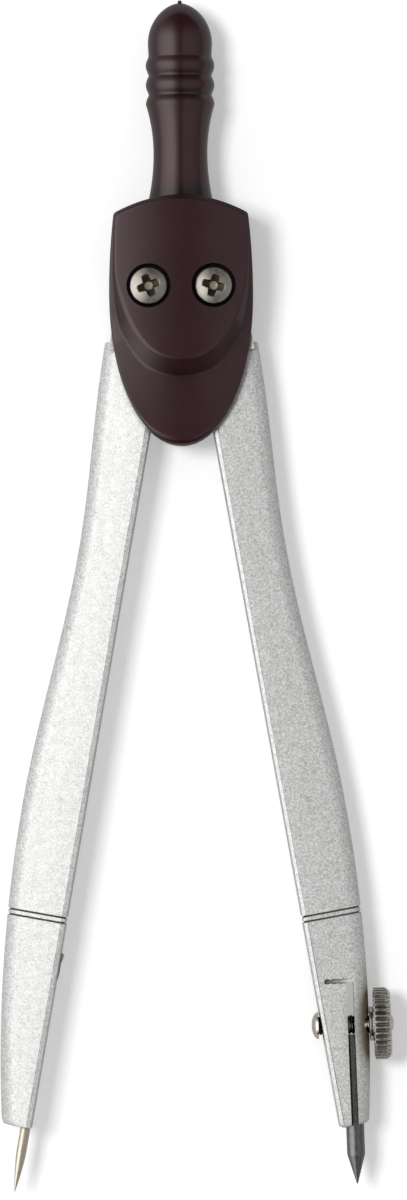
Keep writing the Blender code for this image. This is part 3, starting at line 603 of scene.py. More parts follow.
nickel = bright_metal("nickel plate", NICKEL_DARK, NICKEL_LIGHT, NICKEL_SHEEN, NICKEL_GRAIN, 0.004)
steel = bright_metal("needle steel", STEEL_DARK, STEEL_LIGHT, STEEL_SHEEN, STEEL_GRAIN, 0.003)
graphite = graphite_finish()
washer_plastic = washer_finish()
print("made", nickel.name, steel.name, graphite.name, washer_plastic.name)

# %% [markdown]
# ## The head's two covers
# The head is two moulded shells that close on each other. Seen from the front each is a shield inside a
# larger shield: a slightly crowned face with a rolled edge, a slope round it that levels out like a cove,
# and a narrow lip. It could be sculpted or subdivided from a few faces, but it is drawn here as two
# outlines with rings between them, because the eye goes straight to how evenly that cove runs.

# %% Outlines of the head
HEAD_CROWN, HEAD_CORNER, HEAD_CORNER_WIDTH = 10.05, 8.05, 7.45
HEAD_WIDTH, HEAD_WIDEST, HEAD_TIP, HEAD_FULLNESS = 7.98, -1.0, -17.68, 2.05
SHIELD_CROWN, SHIELD_CORNER, SHIELD_CORNER_WIDTH = 9.72, 7.85, 7.32
SHIELD_WIDTH, SHIELD_WIDEST, SHIELD_TIP, SHIELD_FULLNESS = 7.42, 3.0, -8.25, 2.1
ARCH_STEPS, SIDE_STEPS, LOWER_STEPS = 30, 12, 84
HEAD_CORNER_REACH, SHIELD_CORNER_REACH, CORNER_STEPS = 0.3, 0.6, 8
PARALLEL, TOUCHING = 1e-9, 1e-6


def arch(x, crown, corner, corner_width):
    return crown - (crown - corner) * (x / corner_width) ** 2


def soften(points, corner, reach):
    """Replaces the corner by a curve that leaves the outline at that distance on both sides."""
    count = len(points)
    before, after = corner - 1, corner + 1
    while (points[before % count] - points[corner]).length < reach:
        before -= 1
    while (points[after % count] - points[corner]).length < reach:
        after += 1
    start, middle, end = points[before % count], points[corner], points[after % count]
    start = middle + (start - middle).normalized() * reach
    end = middle + (end - middle).normalized() * reach
    curve = []
    for i in range(CORNER_STEPS + 1):
        share = i / CORNER_STEPS
        curve.append(start * (1 - share) ** 2 + middle * 2 * share * (1 - share) + end * share**2)
    kept = [points[i % count] for i in range(after, before + count + 1)]
    return kept + curve


def shield_outline(crown, corner, corner_width, width, widest, tip, fullness, corner_reach):
    """An arched top between two corners, sides that swell, and a rounded point."""
    points = []
    for i in range(ARCH_STEPS):
        x = corner_width * (1 - 2 * i / ARCH_STEPS)
        points.append((x, arch(x, crown, corner, corner_width)))
    side = []
    for i in range(SIDE_STEPS):
        share = i / SIDE_STEPS
        x = width - (width - corner_width) * (1 - share) ** 2
        side.append((x, corner + (widest - corner) * share))
    points += [(-x, y) for x, y in side]
    for i in range(LOWER_STEPS):
        turn = math.pi * i / LOWER_STEPS
        along = abs(math.cos(turn)) ** (2 / fullness) * math.copysign(1, math.cos(turn))
        points.append((-width * along, widest - (widest - tip) * math.sin(turn) ** (2 / fullness)))
    points.append((width, widest))
    points += list(reversed(side[1:]))
    points = [Vector(point) for point in points]
    points = soften(points, ARCH_STEPS, corner_reach)
    sharp = Vector((corner_width, corner))
    right_corner = min(range(len(points)), key=lambda i: (points[i] - sharp).length)
    return soften(points, right_corner, corner_reach)


def straight_out(inner, outline):
    """Gives every point of the inner outline its way straight out, and its distance to the outer outline."""
    pairs = []
    count = len(inner)
    for i, point in enumerate(inner):
        along = inner[(i + 1) % count] - inner[i - 1]
        way = Vector((along.y, -along.x)).normalized()
        hits = []
        for near, far in zip(outline, outline[1:] + outline[:1]):
            edge = far - near
            turn = way.x * edge.y - way.y * edge.x
            if abs(turn) < PARALLEL:
                continue
            gap = near - point
            share = (gap.x * way.y - gap.y * way.x) / turn
            reach = (gap.x * edge.y - gap.y * edge.x) / turn
            if -TOUCHING <= share <= 1 + TOUCHING and reach > 0:
                hits.append(reach)
        pairs.append((point, way, min(hits)))
    return pairs


head_outline = shield_outline(
    HEAD_CROWN, HEAD_CORNER, HEAD_CORNER_WIDTH, HEAD_WIDTH, HEAD_WIDEST, HEAD_TIP, HEAD_FULLNESS,
    HEAD_CORNER_REACH,
)
face_outline = shield_outline(
    SHIELD_CROWN, SHIELD_CORNER, SHIELD_CORNER_WIDTH, SHIELD_WIDTH, SHIELD_WIDEST, SHIELD_TIP,
    SHIELD_FULLNESS, SHIELD_CORNER_REACH,
)
face_to_rim = straight_out(face_outline, head_outline)
widest_room = max(room for _, _, room in face_to_rim)
print(f"{len(face_outline)} points round the shield, {widest_room:.1f} mm from it to the head's tip")

# %% One moulded cover
COVER_INNER, LIP_TOP, SHIELD_TOP = 2.1, 3.3, 4.45
LIP_ROUND, TIP_ROUND, TIP_FALL = 0.22, 1.0, 0.7
PARTING_ROUND, PARTING_GAP = 0.06, 0.01
BESIDE_FROM, BESIDE_TO, LOW_FROM, LOW_TO = -1.0, 2.0, 5.0, 8.0
TIP_NEARNESS, MOST_OF_ROOM, HALVINGS, CREST_STEPS = 8, 0.65, 20, 24
UPPER_CREST, SIDE_CREST, LOW_CREST, CREST_POWER = 0.3, 0.65, 0.4, 1.5
SIDE_COVE, LOW_COVE, COVE_LEVELS = 1.3, 2.0, 0.2
STEEPEST = math.radians(48)
FACE_CROWN = 0.0125
ROUND_SHARES = (0.0, 0.2, 0.4, 0.6, 0.8, 1.0)
CREST_SHARES = (1.0, 0.85, 0.7, 0.56, 0.43, 0.31, 0.2, 0.1, 0.0)
COVE_SHARES = (0.1, 0.25, 0.4, 0.55, 0.68, 0.8, 0.84, 0.88, 0.92, 0.96, 1.0)
FACE_SHARES, FACE_MIDDLE = (0.16, 0.32, 0.48, 0.64, 0.8, 0.92), Vector((0, 1.5))


def between(first, second, share):
    return first + (second - first) * share


def soft_step(value, start, end):
    share = min(1.0, max(0.0, (value - start) / (end - start)))
    return share * share * (3 - 2 * share)


def crest_fall(wall, width, share):
    """How far the face has fallen at that share of the crest's width from its edge. It falls ever faster."""
    fall = 0.0
    for i in range(CREST_STEPS):
        away = 1 - (i + 0.5) / CREST_STEPS * (1 - share)
        fall += math.tan(wall * (1 - away) ** CREST_POWER) * width * (1 - share) / CREST_STEPS
    return fall


def cove_slope(crest, cove):
    """The slope that takes the face down to the lip over that width, found by halving."""
    low, high = 0.0, STEEPEST
    for _ in range(HALVINGS):
        middle = (low + high) / 2
        fall = crest_fall(middle, crest, 0.0) + math.tan(middle) * cove * (1 - COVE_LEVELS / 2)
        if fall < SHIELD_TOP - LIP_TOP:
            low = middle
        else:
            high = middle
    return low


def cover_column(point, way, room, crown):
    """Points down one column: the crest, the cove's slope, the lip and the wall to the parting. Where the lip
    is narrow there is no room for the whole slope, so the lip stands higher there."""
    low, beside = soft_step(-point.y, LOW_FROM, LOW_TO), soft_step(-point.y, BESIDE_FROM, BESIDE_TO)
    crest = between(UPPER_CREST, SIDE_CREST, beside) + (LOW_CREST - SIDE_CREST) * low
    at_tip = max(0.0, (point.y + way.y * room) / HEAD_TIP) ** TIP_NEARNESS
    edge = min(between(LIP_ROUND, TIP_ROUND, at_tip), room / 2)
    fall = between(LIP_ROUND, TIP_FALL, at_tip)
    cove = min(between(SIDE_COVE, LOW_COVE, low), (room - edge) * MOST_OF_ROOM)
    slope = cove_slope(crest, cove)
    edge_fall = crest_fall(slope, crest, 0.0)
    column = [(-crest * share, crest_fall(slope, crest, share)) for share in CREST_SHARES]
    for share in COVE_SHARES:
        levelled = max(0.0, share - (1 - COVE_LEVELS)) ** 2 / (2 * COVE_LEVELS)
        column.append((cove * share, edge_fall + math.tan(slope) * cove * (share - levelled)))
    lip_fall = column[-1][1]
    for share in ROUND_SHARES:
        turn = math.pi / 2 * share
        column.append((room - edge * (1 - math.sin(turn)), lip_fall + fall * (1 - math.cos(turn))))
    placed = []
    for reach, drop in column:
        x, y = point.x + way.x * reach, point.y + way.y * reach
        bend = crown * FACE_CROWN * x * x
        placed.append((x, y, SHIELD_TOP - drop - bend))
    for reach, height in ((room, PARTING_ROUND), (room - PARTING_ROUND, PARTING_GAP)):
        placed.append((point.x + way.x * reach, point.y + way.y * reach, height))
    return placed


def cover_shell(side, crown):
    """The face is filled in by rings that shrink towards its middle, so that it can be crowned too."""
    columns = [cover_column(*pair, crown) for pair in face_to_rim]
    rings = [list(ring) for ring in zip(*columns)]
    inner = []
    for share in FACE_SHARES:
        ring = []
        for x, y, _ in rings[0]:
            spot = FACE_MIDDLE + (Vector((x, y)) - FACE_MIDDLE) * share
            ring.append((spot.x, spot.y, SHIELD_TOP - crown * FACE_CROWN * spot.x**2))
        inner.append(ring)
    made = bmesh.new()
    rows = [[made.verts.new((x, y, side * z)) for x, y, z in ring] for ring in inner + rings]
    hub = made.verts.new((FACE_MIDDLE.x, FACE_MIDDLE.y, side * SHIELD_TOP))
    count = len(rows[0])
    for i in range(count):
        k = (i + 1) % count
        made.faces.new((hub, rows[0][i], rows[0][k]))
        for near, far in zip(rows, rows[1:]):
            made.faces.new((near[k], near[i], far[i], far[k]))
    made.faces.new(list(reversed(rows[-1])))
    return made


front_cover = new_piece("head_front", cover_shell(1, 1.0), head_place)
back_cover = new_piece("head_back", cover_shell(-1, 0.0), head_place)
print("two cover shells")

# %% [markdown]
# ## What is cut out of the covers
# Inside, the covers leave room for the toothed ends of the legs and a pocket for the grip's tang.
# Outside, the front cover has a well for each screw head. The wells' rims are rounded in the cutter's own
# profile, which is surer than bevelling the edge after the cut.

# %% Room for the mechanism, pocket and wells
CLEARANCE = 0.05
DISC_RADIUS, TIP_RADIUS, STOP_ANGLE = 3.2, 4.05, math.radians(51.5)
TOOTH_ROOM = 0.15
TANG_STEM, TANG_FOOT, TANG_LOW, TANG_FOOT_LENGTH, TANG_THICKNESS = 5.0, 8.6, 4.85, 1.4, 4.0
WELL_RADIUS, WELL_DEPTH, WELL_ROUND, WELL_FOOT_ROUND, SCREW_RADIUS = 2.44, 1.6, 0.02, 0.12, 1.1
BOSS_RADIUS, BOSS_ROOT, BOSS_SHORT, PILOT_END, PILOT_PLAY = 1.75, 0.5, 0.02, -3.2, 0.02
PAST = 1.0


def mechanism_outline():
    """Room for the teeth and discs, and for the legs to swing out as far as its slanting edges."""
    right = [(PIVOT, TIP_RADIUS + TOOTH_ROOM)]
    right += corner_round((PIVOT, 0), DISC_RADIUS + TOOTH_ROOM, 90, math.degrees(STOP_ANGLE), 16)
    edge = HEAD_WIDTH + PAST
    x, y = right[-1]
    right += [(edge, y - (edge - x) / math.tan(STOP_ANGLE)), (edge, HEAD_TIP - PAST)]
    return [(-x, y) for x, y in right] + list(reversed(right))


def tang_outline(grown, top):
    stem, foot = TANG_STEM / 2 + grown, TANG_FOOT / 2 + grown
    low, shoulder = TANG_LOW - grown, TANG_LOW + TANG_FOOT_LENGTH + grown
    right = [(foot, low), (foot, shoulder), (stem, shoulder), (stem, top)]
    return right + [(-x, y) for x, y in reversed(right)]


def well_profile():
    seat, rim = SHIELD_TOP - WELL_DEPTH, SHIELD_TOP
    hole = SCREW_RADIUS + CLEARANCE
    arc = corner_round((WELL_RADIUS + WELL_ROUND, rim - WELL_ROUND), WELL_ROUND, 180, 90, 5)
    foot = WELL_FOOT_ROUND
    floor_arc = corner_round((WELL_RADIUS - foot, seat + foot), foot, -90, 0, 3)
    top = [(WELL_RADIUS + WELL_ROUND, rim + PAST), (0, rim + PAST)]
    return [(0, COVER_INNER - PAST), (hole, COVER_INNER - PAST), (hole, seat), *floor_arc, *arc, *top]


for cover, side in ((front_cover, 1), (back_cover, -1)):
    low, high = sorted((-side * PAST, side * COVER_INNER))
    cut(cover, stamp(mechanism_outline(), low, high), head_place)
    low, high = sorted((-side * PAST, side * (TANG_THICKNESS / 2 + CLEARANCE)))
    cut(cover, stamp(tang_outline(CLEARANCE, HEAD_CROWN + PAST), low, high), head_place)
for x in (-PIVOT, PIVOT):
    spot = shifted(head_place, x)
    cut(front_cover, lathe(well_profile(), Z_AXIS), spot)
    join(back_cover, post(BOSS_RADIUS, -COVER_INNER - BOSS_ROOT, COVER_INNER - BOSS_SHORT, Z_AXIS), spot)
    cut(back_cover, post(SCREW_RADIUS + PILOT_PLAY, PILOT_END, COVER_INNER + PAST, Z_AXIS), spot)
hand_over(smooth(front_cover), plastic, "burgundy_plastic", "head", "front_cover")
hand_over(smooth(back_cover), plastic, "burgundy_plastic", "head", "back_cover")

# %% [markdown]
# ## The grip
# The grip is a moulding that looks as if it came off a lathe: a foot that flares onto the head, a slim
# waist, rounded beads with narrow grooves, and a dome with the small nub that the plastic's feed left. So
# it is one profile spun round the compass's long axis. The tang below it is trapped between the covers.

# %% Turned grip
GRIP_TOP, DOME_RADIUS, DOME_AT, DOME_GROOVE_AT, DOME_POINT = 31.5, 3.57, 27.0, 25.6, 1.15
GROOVE_RADIUS, BEAD_RADIUS, BEAD_LENGTH = 3.44, 3.82, 2.15
WAIST_RADIUS, WAIST_AT, FOOT_RADIUS = 3.0, 14.8, 3.7
FOOT_SUNK, TANG_INTO_GRIP = 0.5, 0.5
NUB_RADIUS, NUB_HEIGHT, NUB_ROUND = 0.22, 0.28, 0.08
BEADS, GROOVE_SOFTNESS = 2.5, 0.03
WAIST_STEPS, BEAD_STEPS, DOME_STEPS, SEAT_STEPS = 36, 60, 30, 24


def grip_profile():
    bead_low = DOME_GROOVE_AT - BEADS * BEAD_LENGTH
    foot = arch(FOOT_RADIUS, HEAD_CROWN, HEAD_CORNER, HEAD_CORNER_WIDTH) - FOOT_SUNK
    profile = [(0, foot)]
    for height in evenly(foot, bead_low, WAIST_STEPS)[:-1]:
        end, radius = (foot, FOOT_RADIUS) if height < WAIST_AT else (bead_low, BEAD_RADIUS)
        share = (height - WAIST_AT) / (end - WAIST_AT)
        profile.append((between(WAIST_RADIUS, radius, share**2), height))
    for i in range(BEAD_STEPS + 1):
        share = BEADS * i / BEAD_STEPS
        wave = abs(math.cos(math.pi * share))
        soft = math.sqrt(wave**2 + GROOVE_SOFTNESS) / math.sqrt(1 + GROOVE_SOFTNESS)
        profile.append((between(GROOVE_RADIUS, BEAD_RADIUS, soft), bead_low + share * BEAD_LENGTH))
    start = -math.acos(GROOVE_RADIUS / DOME_RADIUS)
    end = math.acos(NUB_RADIUS / DOME_RADIUS)
    for turn in evenly(start, end, DOME_STEPS)[2:]:
        reach = (GRIP_TOP - DOME_AT) if turn > 0 else (DOME_AT - DOME_GROOVE_AT) / math.sin(-start)
        radius = DOME_RADIUS * math.cos(turn) ** (DOME_POINT if turn > 0 else 1)
        profile.append((max(NUB_RADIUS, radius), DOME_AT + reach * math.sin(turn)))
    nub_top = GRIP_TOP + NUB_HEIGHT
    nub = corner_round((NUB_RADIUS - NUB_ROUND, nub_top - NUB_ROUND), NUB_ROUND, 0, 90, 4)
    return profile + nub + [(0, nub_top)]


def seat_outline():
    reach = FOOT_RADIUS + PAST
    xs = [reach * (1 - 2 * i / SEAT_STEPS) for i in range(SEAT_STEPS + 1)]
    top = [(x, arch(x, HEAD_CROWN, HEAD_CORNER, HEAD_CORNER_WIDTH) + CLEARANCE) for x in xs]
    return top + [(-reach, TANG_LOW), (reach, TANG_LOW)]


grip = new_piece("turned_grip", lathe(grip_profile(), Y_AXIS, sides=72), head_place)
cut(grip, stamp(seat_outline(), -FOOT_RADIUS - PAST, FOOT_RADIUS + PAST), head_place)
tang = tang_outline(0, HEAD_CROWN + TANG_INTO_GRIP)
join(grip, stamp(tang, -TANG_THICKNESS / 2, TANG_THICKNESS / 2), head_place)
hand_over(smooth(grip, sharp_angle=50), plastic, "burgundy_plastic", "head", "handle")

# %% [markdown]
# ## Pivot screws
# Two small pan-head screws hold the covers together and are what the eye finds first. The head is a low
# dome with a rounded rim, and its cross recess narrows downwards to a small flat floor. The two crosses
# stand at different angles, as screws do.

# %% Pan heads with a cross recess
HEAD_RADIUS, HEAD_HEIGHT, HEAD_DOME, HEAD_ROUND = 2.12, 1.45, 0.42, 0.3
RIM_SWEEP, FOOT_ROUND, PAN_EDGE = 60, 0.08, 0.04
RECESS_REACH, RECESS_ARM, RECESS_DEPTH, RECESS_START = 1.42, 0.78, 1.15, 0.3
FLOOR_REACH, FLOOR_ARM = 0.42, 0.5
ARM_END_CORNER, ARM_ROOT_CORNER = 0.93, 0.62
SCREW_LENGTH = 6.0
SEAT_PLAY = 0.02
PAN_SEAT = SHIELD_TOP - WELL_DEPTH + SEAT_PLAY
PAN_CROWN = PAN_SEAT + HEAD_HEIGHT


def pan_head_profile():
    end = SHIELD_TOP - WELL_DEPTH - SCREW_LENGTH
    flat = HEAD_RADIUS - HEAD_ROUND
    shank = [(0, end), (SCREW_RADIUS / 2, end), (SCREW_RADIUS, end + SCREW_RADIUS), (SCREW_RADIUS, PAN_SEAT)]
    foot = corner_round((HEAD_RADIUS - FOOT_ROUND, PAN_SEAT + FOOT_ROUND), FOOT_ROUND, -90, 0, 3)
    rim = corner_round((flat, PAN_CROWN - HEAD_DOME - HEAD_ROUND), HEAD_ROUND, 0, RIM_SWEEP, 5)
    top = [(flat * i / 10, PAN_CROWN - HEAD_DOME * (i / 10) ** 2) for i in range(10, -1, -1)]
    return shank + foot + rim + top


def cross_ring(reach, arm, height):
    end, root = reach * ARM_END_CORNER, arm * ARM_ROOT_CORNER
    points = []
    for quarter in range(4):
        spin = Matrix.Rotation(math.pi / 2 * quarter, 2)
        for x, y in ((end, -arm / 2), (reach, 0), (end, arm / 2), (root, root)):
            corner = spin @ Vector((x, y))
            points.append((corner.x, corner.y, height))
    return points


def cross_recess():
    low = cross_ring(FLOOR_REACH, FLOOR_ARM, PAN_CROWN - RECESS_DEPTH)
    high = cross_ring(RECESS_REACH, RECESS_ARM, PAN_CROWN - HEAD_DOME * RECESS_START)
    over = cross_ring(RECESS_REACH, RECESS_ARM, PAN_CROWN + PAST)
    return loft([low, high, over])


# %% Plating of the pan heads, and the screws themselves
PAN_DARK, PAN_LIGHT, PAN_SHEEN = (0.48, 0.45, 0.395), (0.66, 0.62, 0.55), (0.20, 0.32)
# The recess gets painted shade, darker with its depth, and its floor a painted highlight.
RECESS_SHADE, RECESS_FLOOR_LIGHT = (0.155, 0.13, 0.095), (0.72, 0.66, 0.56)
RECESS_MARGIN, SHADE_FROM, SHADE_TO = 0.15, 0.03, 0.2
FLOOR_FROM, FLOOR_TO = RECESS_DEPTH - 0.12, RECESS_DEPTH - 0.04
WORN_ROUGHNESS, RECESS_DULLNESS = 0.14, 0.25
LEFT_CROSS, RIGHT_CROSS = math.radians(20), math.radians(-15)


def pan_head_nickel():
    """Nickel plate with painted shade darkening the recess, which is also rougher, and a painted highlight on
    its floor.
    """
    material = bright_metal("nickel plate with recess", PAN_DARK, PAN_LIGHT, PAN_SHEEN, NICKEL_GRAIN, 0.006)
    tree = material.node_tree
    shader = tree.nodes["Principled BSDF"]
    place = add_node(tree, "SeparateXYZ", {"Vector": own_place(tree)}).outputs
    x, y, z = (maths(tree, "DIVIDE", along_axis, MM) for along_axis in place)
    from_axis = maths(tree, "ADD", maths(tree, "MULTIPLY", x, x), maths(tree, "MULTIPLY", y, y))
    fall = maths(tree, "MULTIPLY", from_axis, HEAD_DOME / (HEAD_RADIUS - HEAD_ROUND) ** 2)
    depth = maths(tree, "SUBTRACT", maths(tree, "SUBTRACT", PAN_CROWN, fall), z)
    inside = maths(tree, "LESS_THAN", from_axis, (RECESS_REACH + RECESS_MARGIN) ** 2)
    recess_shade = maths(tree, "MULTIPLY", blend_values(tree, depth, 0.0, 1.0, SHADE_FROM, SHADE_TO), inside)
    at_floor = maths(tree, "MULTIPLY", blend_values(tree, depth, 0.0, 1.0, FLOOR_FROM, FLOOR_TO), inside)
    plate, polish = (shader.inputs[name].links[0].from_socket for name in ("Base Color", "Roughness"))
    plate = mix_colours(tree, recess_shade, plate, RECESS_SHADE)
    worn = maths(tree, "ADD", polish, WORN_ROUGHNESS)
    feed(tree, shader, {
        "Base Color": mix_colours(tree, at_floor, plate, RECESS_FLOOR_LIGHT),
        "Roughness": maths(tree, "ADD", worn, maths(tree, "MULTIPLY", recess_shade, RECESS_DULLNESS)),
    })
    return material


pan_nickel = pan_head_nickel()
for name, x, turn, node in (
    ("pivot_screw_l", -PIVOT, LEFT_CROSS, "pivot_screw_left"),
    ("pivot_screw_r", PIVOT, RIGHT_CROSS, "pivot_screw_right"),
):
    spot = shifted(head_place, x, turn=turn)
    screw = new_piece(name, lathe(pan_head_profile(), Z_AXIS, sides=56), spot)
    cut(screw, cross_recess(), spot)
    ease_edges(screw, PAN_EDGE, angle=45)
    hand_over(smooth(screw, sharp_angle=35), pan_nickel, "nickel_plate", "head", node)

# %% [markdown]
# ## The legs
# Each leg is a casting that swells and narrows like a baluster: its inner edge is straight, so that the
# legs close on each other, and its outer edge waves. The face falls a little towards the outer edge and
# turns over it in a full round. A row of cross sections down the leg gives all of that at once. A box
# with bevels couldn't, because the edge's rounding must stay the same while the width changes. Both legs
# end a little short of their solids, since they measure so in the photograph.

# %% Cross sections of a leg
LEG_THICKNESS, LEG_INNER = 4.0, 2.97
SHOULDER_AT, SHOULDER_REACH, SHOULDER_ROUND = 6.85, 3.72, 0.3
LEG_WAIST_AT, WAIST_REACH = 30.0, 2.74
BELLY_AT, BELLY_REACH = LEG_LENGTH - 35.1, 4.15
TOE_REACH = 0.38
OUTER_ROUND, TOE_CORNER = 1.9, 0.45
INNER_DRAFT, CHAMFER_WIDTH, CHAMFER_DROP, CHAMFER_END_DROP = 0.2, 0.36, 0.08, 0.01
LINE_WIDTH, LINE_DEPTH = 0.12, 0.05
MOST_OF_FACE, FACE_STEPS, EDGE_STEPS, END_STEPS = 0.9, 7, 12, 6
INNER_SLOPE, OUTER_SLOPE = math.tan(math.radians(5)), math.tan(math.radians(9))
BAND_AT, BAND_WIDTH, BAND_DEPTH, BAND_WALL, BAND_RIDGE = LEG_LENGTH - 24.1, 0.84, 0.29, 0.12, 0.06
BESIDE_BAND, UPPER_SECTIONS, LOWER_SECTIONS = 0.1, 90, 40


def ease(share):
    return (1 - math.cos(math.pi * share)) / 2


def leg_outer(at):
    """How far the outer edge stands from the pivot's line, at this distance down the leg."""
    if at < LEG_WAIST_AT:
        share = ease((at - SHOULDER_AT) / (LEG_WAIST_AT - SHOULDER_AT))
        return between(SHOULDER_REACH, WAIST_REACH, share)
    if at < BELLY_AT:
        share = ease((at - LEG_WAIST_AT) / (BELLY_AT - LEG_WAIST_AT))
        return between(WAIST_REACH, BELLY_REACH, share)
    share = (at - BELLY_AT) / (LEG_LENGTH - BELLY_AT)
    return between(BELLY_REACH, TOE_REACH, share**2)


def leg_section(at, inset, side, length):
    """One cross section. Its upper half is drawn from the inner edge to the outer one and then mirrored."""
    half = LEG_THICKNESS / 2 - inset
    inner, outer = -LEG_INNER + inset, leg_outer(at) - inset
    past_corner = max(0.0, at - (length - TOE_CORNER))
    outer -= TOE_CORNER - math.sqrt(max(0.0, TOE_CORNER**2 - past_corner**2))
    wall = inner + INNER_DRAFT
    chamfer_end = wall + CHAMFER_WIDTH
    face_start = chamfer_end + LINE_WIDTH
    width = min(OUTER_ROUND - inset, MOST_OF_FACE * (outer - face_start))
    flat = outer - width - face_start
    height = half - flat * (INNER_SLOPE + OUTER_SLOPE) / 2
    start = math.atan(OUTER_SLOPE * width / height)
    upper = [
        (wall, half - CHAMFER_DROP), (chamfer_end, half - CHAMFER_END_DROP),
        (chamfer_end + LINE_WIDTH / 2, half - LINE_DEPTH),
    ]
    for i in range(FACE_STEPS):
        share = i / FACE_STEPS
        fall = flat * (INNER_SLOPE * share + (OUTER_SLOPE - INNER_SLOPE) * share**2 / 2)
        upper.append((face_start + flat * share, half - fall))
    for i in range(EDGE_STEPS):
        turn = start + (math.pi / 2 - start) * i / EDGE_STEPS
        upper.append((outer - width * (1 - math.sin(turn)), height * math.cos(turn)))
    across = [(inner, 0), *upper, (outer, 0), *[(x, -z) for x, z in reversed(upper)]]
    return [(side * x, -at, z) for x, z in across]


def round_stations(start, radius, rising):
    """(place, inset) pairs over a rounded end: rising from the end, or falling towards it."""
    turns = [math.pi / 2 * i / END_STEPS for i in range(END_STEPS + 1)]
    if rising:
        return [(start + radius * (1 - math.cos(t)), radius * (1 - math.sin(t))) for t in turns]
    return [(start + radius * math.sin(t), radius * (1 - math.cos(t))) for t in turns]


def spread(start, end, count):
    return [(place, 0.0) for place in evenly(start, end, count)[1:-1]]


def leg_stations(toe_round, length):
    """(place down the leg, inset) pairs: shoulder, swell, the band's two grooves and ridge, and toe."""
    before, band_end = BAND_AT - BESIDE_BAND, BAND_AT + BAND_WIDTH
    after = band_end + BESIDE_BAND
    stations = round_stations(SHOULDER_AT, SHOULDER_ROUND, True)
    stations += spread(SHOULDER_AT + SHOULDER_ROUND, before, UPPER_SECTIONS)
    stations += [
        (before, 0), (BAND_AT, 0), (BAND_AT + BAND_WALL, BAND_DEPTH), (BAND_AT + 2 * BAND_WALL, BAND_RIDGE),
        (band_end - 2 * BAND_WALL, BAND_RIDGE), (band_end - BAND_WALL, BAND_DEPTH), (band_end, 0), (after, 0),
    ]
    stations += spread(after, length - toe_round, LOWER_SECTIONS)
    return stations + round_stations(length - toe_round, toe_round, False)


points, sections = leg_section(LEG_WAIST_AT, 0, 1, LEG_LENGTH), leg_stations(TOE_CORNER, LEG_LENGTH)
print(f"a leg has {len(sections)} sections of {len(points)} points")

# %% [markdown]
# ## The toothed ends
# Under the covers each leg ends in a disc with a few gear teeth, which mesh midway between the pivots.
# That is why the grip always stands in the middle of the opening. The flanks are involutes, the curve
# that a thread draws as it unwinds from a circle, so the teeth roll on each other at every opening.

# %% Teeth and the leg as a whole
TEETH_PER_TURN, TOOTH_ROOT, TOOTH_PLAY = 14, 3.04, 0.07
PRESSURE = math.radians(25)
PLATE_THICKNESS, NECK_REACH, PLATE_IN_LEG = 3.6, 2.2, 0.8
DISC_STEPS, FLANK_STEPS, TOOTH_GAP = 24, 7, 0.75
NEEDLE_LEG_TEETH, NEEDLE_LEG_SHORT, NEEDLE_TOE_ROUND = (-2.5, -1.5, -0.5, 0.5, 1.5), 0.28, 0.1
LEAD_LEG_TEETH, LEAD_LEG_SHORT, LEAD_TOE_ROUND = (-2, -1, 0, 1), 0.15, 0.4


def tooth_flank(radius):
    """Half the angle that a tooth takes up at that radius."""
    base = PIVOT * math.cos(PRESSURE)
    pressure = math.acos(min(1.0, base / max(radius, base)))
    at_pitch = (math.pi * PIVOT / TEETH_PER_TURN - TOOTH_PLAY) / (2 * PIVOT)
    return at_pitch + (math.tan(PRESSURE) - PRESSURE) - (math.tan(pressure) - pressure)


def plate_outline(teeth, side):
    """A disc with teeth towards the other leg, whose own teeth they meet with the legs open as they lie."""
    stop = 180 - math.degrees(OPENING) + (min(teeth) - TOOTH_GAP) * 360 / TEETH_PER_TURN
    points = corner_round((0, 0), DISC_RADIUS, 0, stop, DISC_STEPS)
    radii = evenly(TOOTH_ROOT, TIP_RADIUS, FLANK_STEPS)
    for tooth in teeth:
        centre = math.pi - OPENING + tooth * math.tau / TEETH_PER_TURN
        flanks = [(r, centre - tooth_flank(r)) for r in radii]
        flanks += [(r, centre + tooth_flank(r)) for r in reversed(radii)]
        points += [(r * math.cos(t), r * math.sin(t)) for r, t in flanks]
    neck = math.pi + math.acos(NECK_REACH / TOOTH_ROOT)
    points.append((TOOTH_ROOT * math.cos(neck), TOOTH_ROOT * math.sin(neck)))
    low = -SHOULDER_AT - PLATE_IN_LEG
    points += [(-NECK_REACH, low), (DISC_RADIUS, low)]
    return [(side * x, y) for x, y in points]


def make_leg(name, teeth, toe_round, short, side, place):
    length = LEG_LENGTH - short
    sections = [leg_section(at, inset, side, length) for at, inset in leg_stations(toe_round, length)]
    leg = new_piece(name, loft(sections), place)
    join(leg, stamp(plate_outline(teeth, side), -PLATE_THICKNESS / 2, PLATE_THICKNESS / 2), place)
    return cut(leg, post(BOSS_RADIUS + CLEARANCE, -LEG_THICKNESS, LEG_THICKNESS, Z_AXIS), place)


needle_leg = make_leg(
    "cast_needle_leg", NEEDLE_LEG_TEETH, NEEDLE_TOE_ROUND, NEEDLE_LEG_SHORT, -1, left_leg_place
)
lead_leg = make_leg("cast_lead_leg", LEAD_LEG_TEETH, LEAD_TOE_ROUND, LEAD_LEG_SHORT, 1, right_leg_place)
print("two legs with teeth")

# %% [markdown]
# ## Needle leg
# The needle sits in a bore beside the inner edge. A little above it the casting's feed was broken off,
# which left a low mark with a torn upper end. Such marks are small, but they are what tells a casting
# from a drawing.

# %% Bore, casting mark and needle
NEEDLE_RADIUS, NEEDLE_INSET, NEEDLE_BORE = 0.56, 0.72, 14.0
NEEDLE_STICK_OUT, NEEDLE_POINT, NEEDLE_TIP = 7.1, 4.6, 0.03
OGIVE, POINT_STEPS, NEEDLE_PLAY = 1.5, 20, 0.02
MARK_AT, MARK_LENGTH, MARK_HEIGHT, MARK_WIDTH = LEG_LENGTH - 20.0, 3.0, 0.3, 1.2


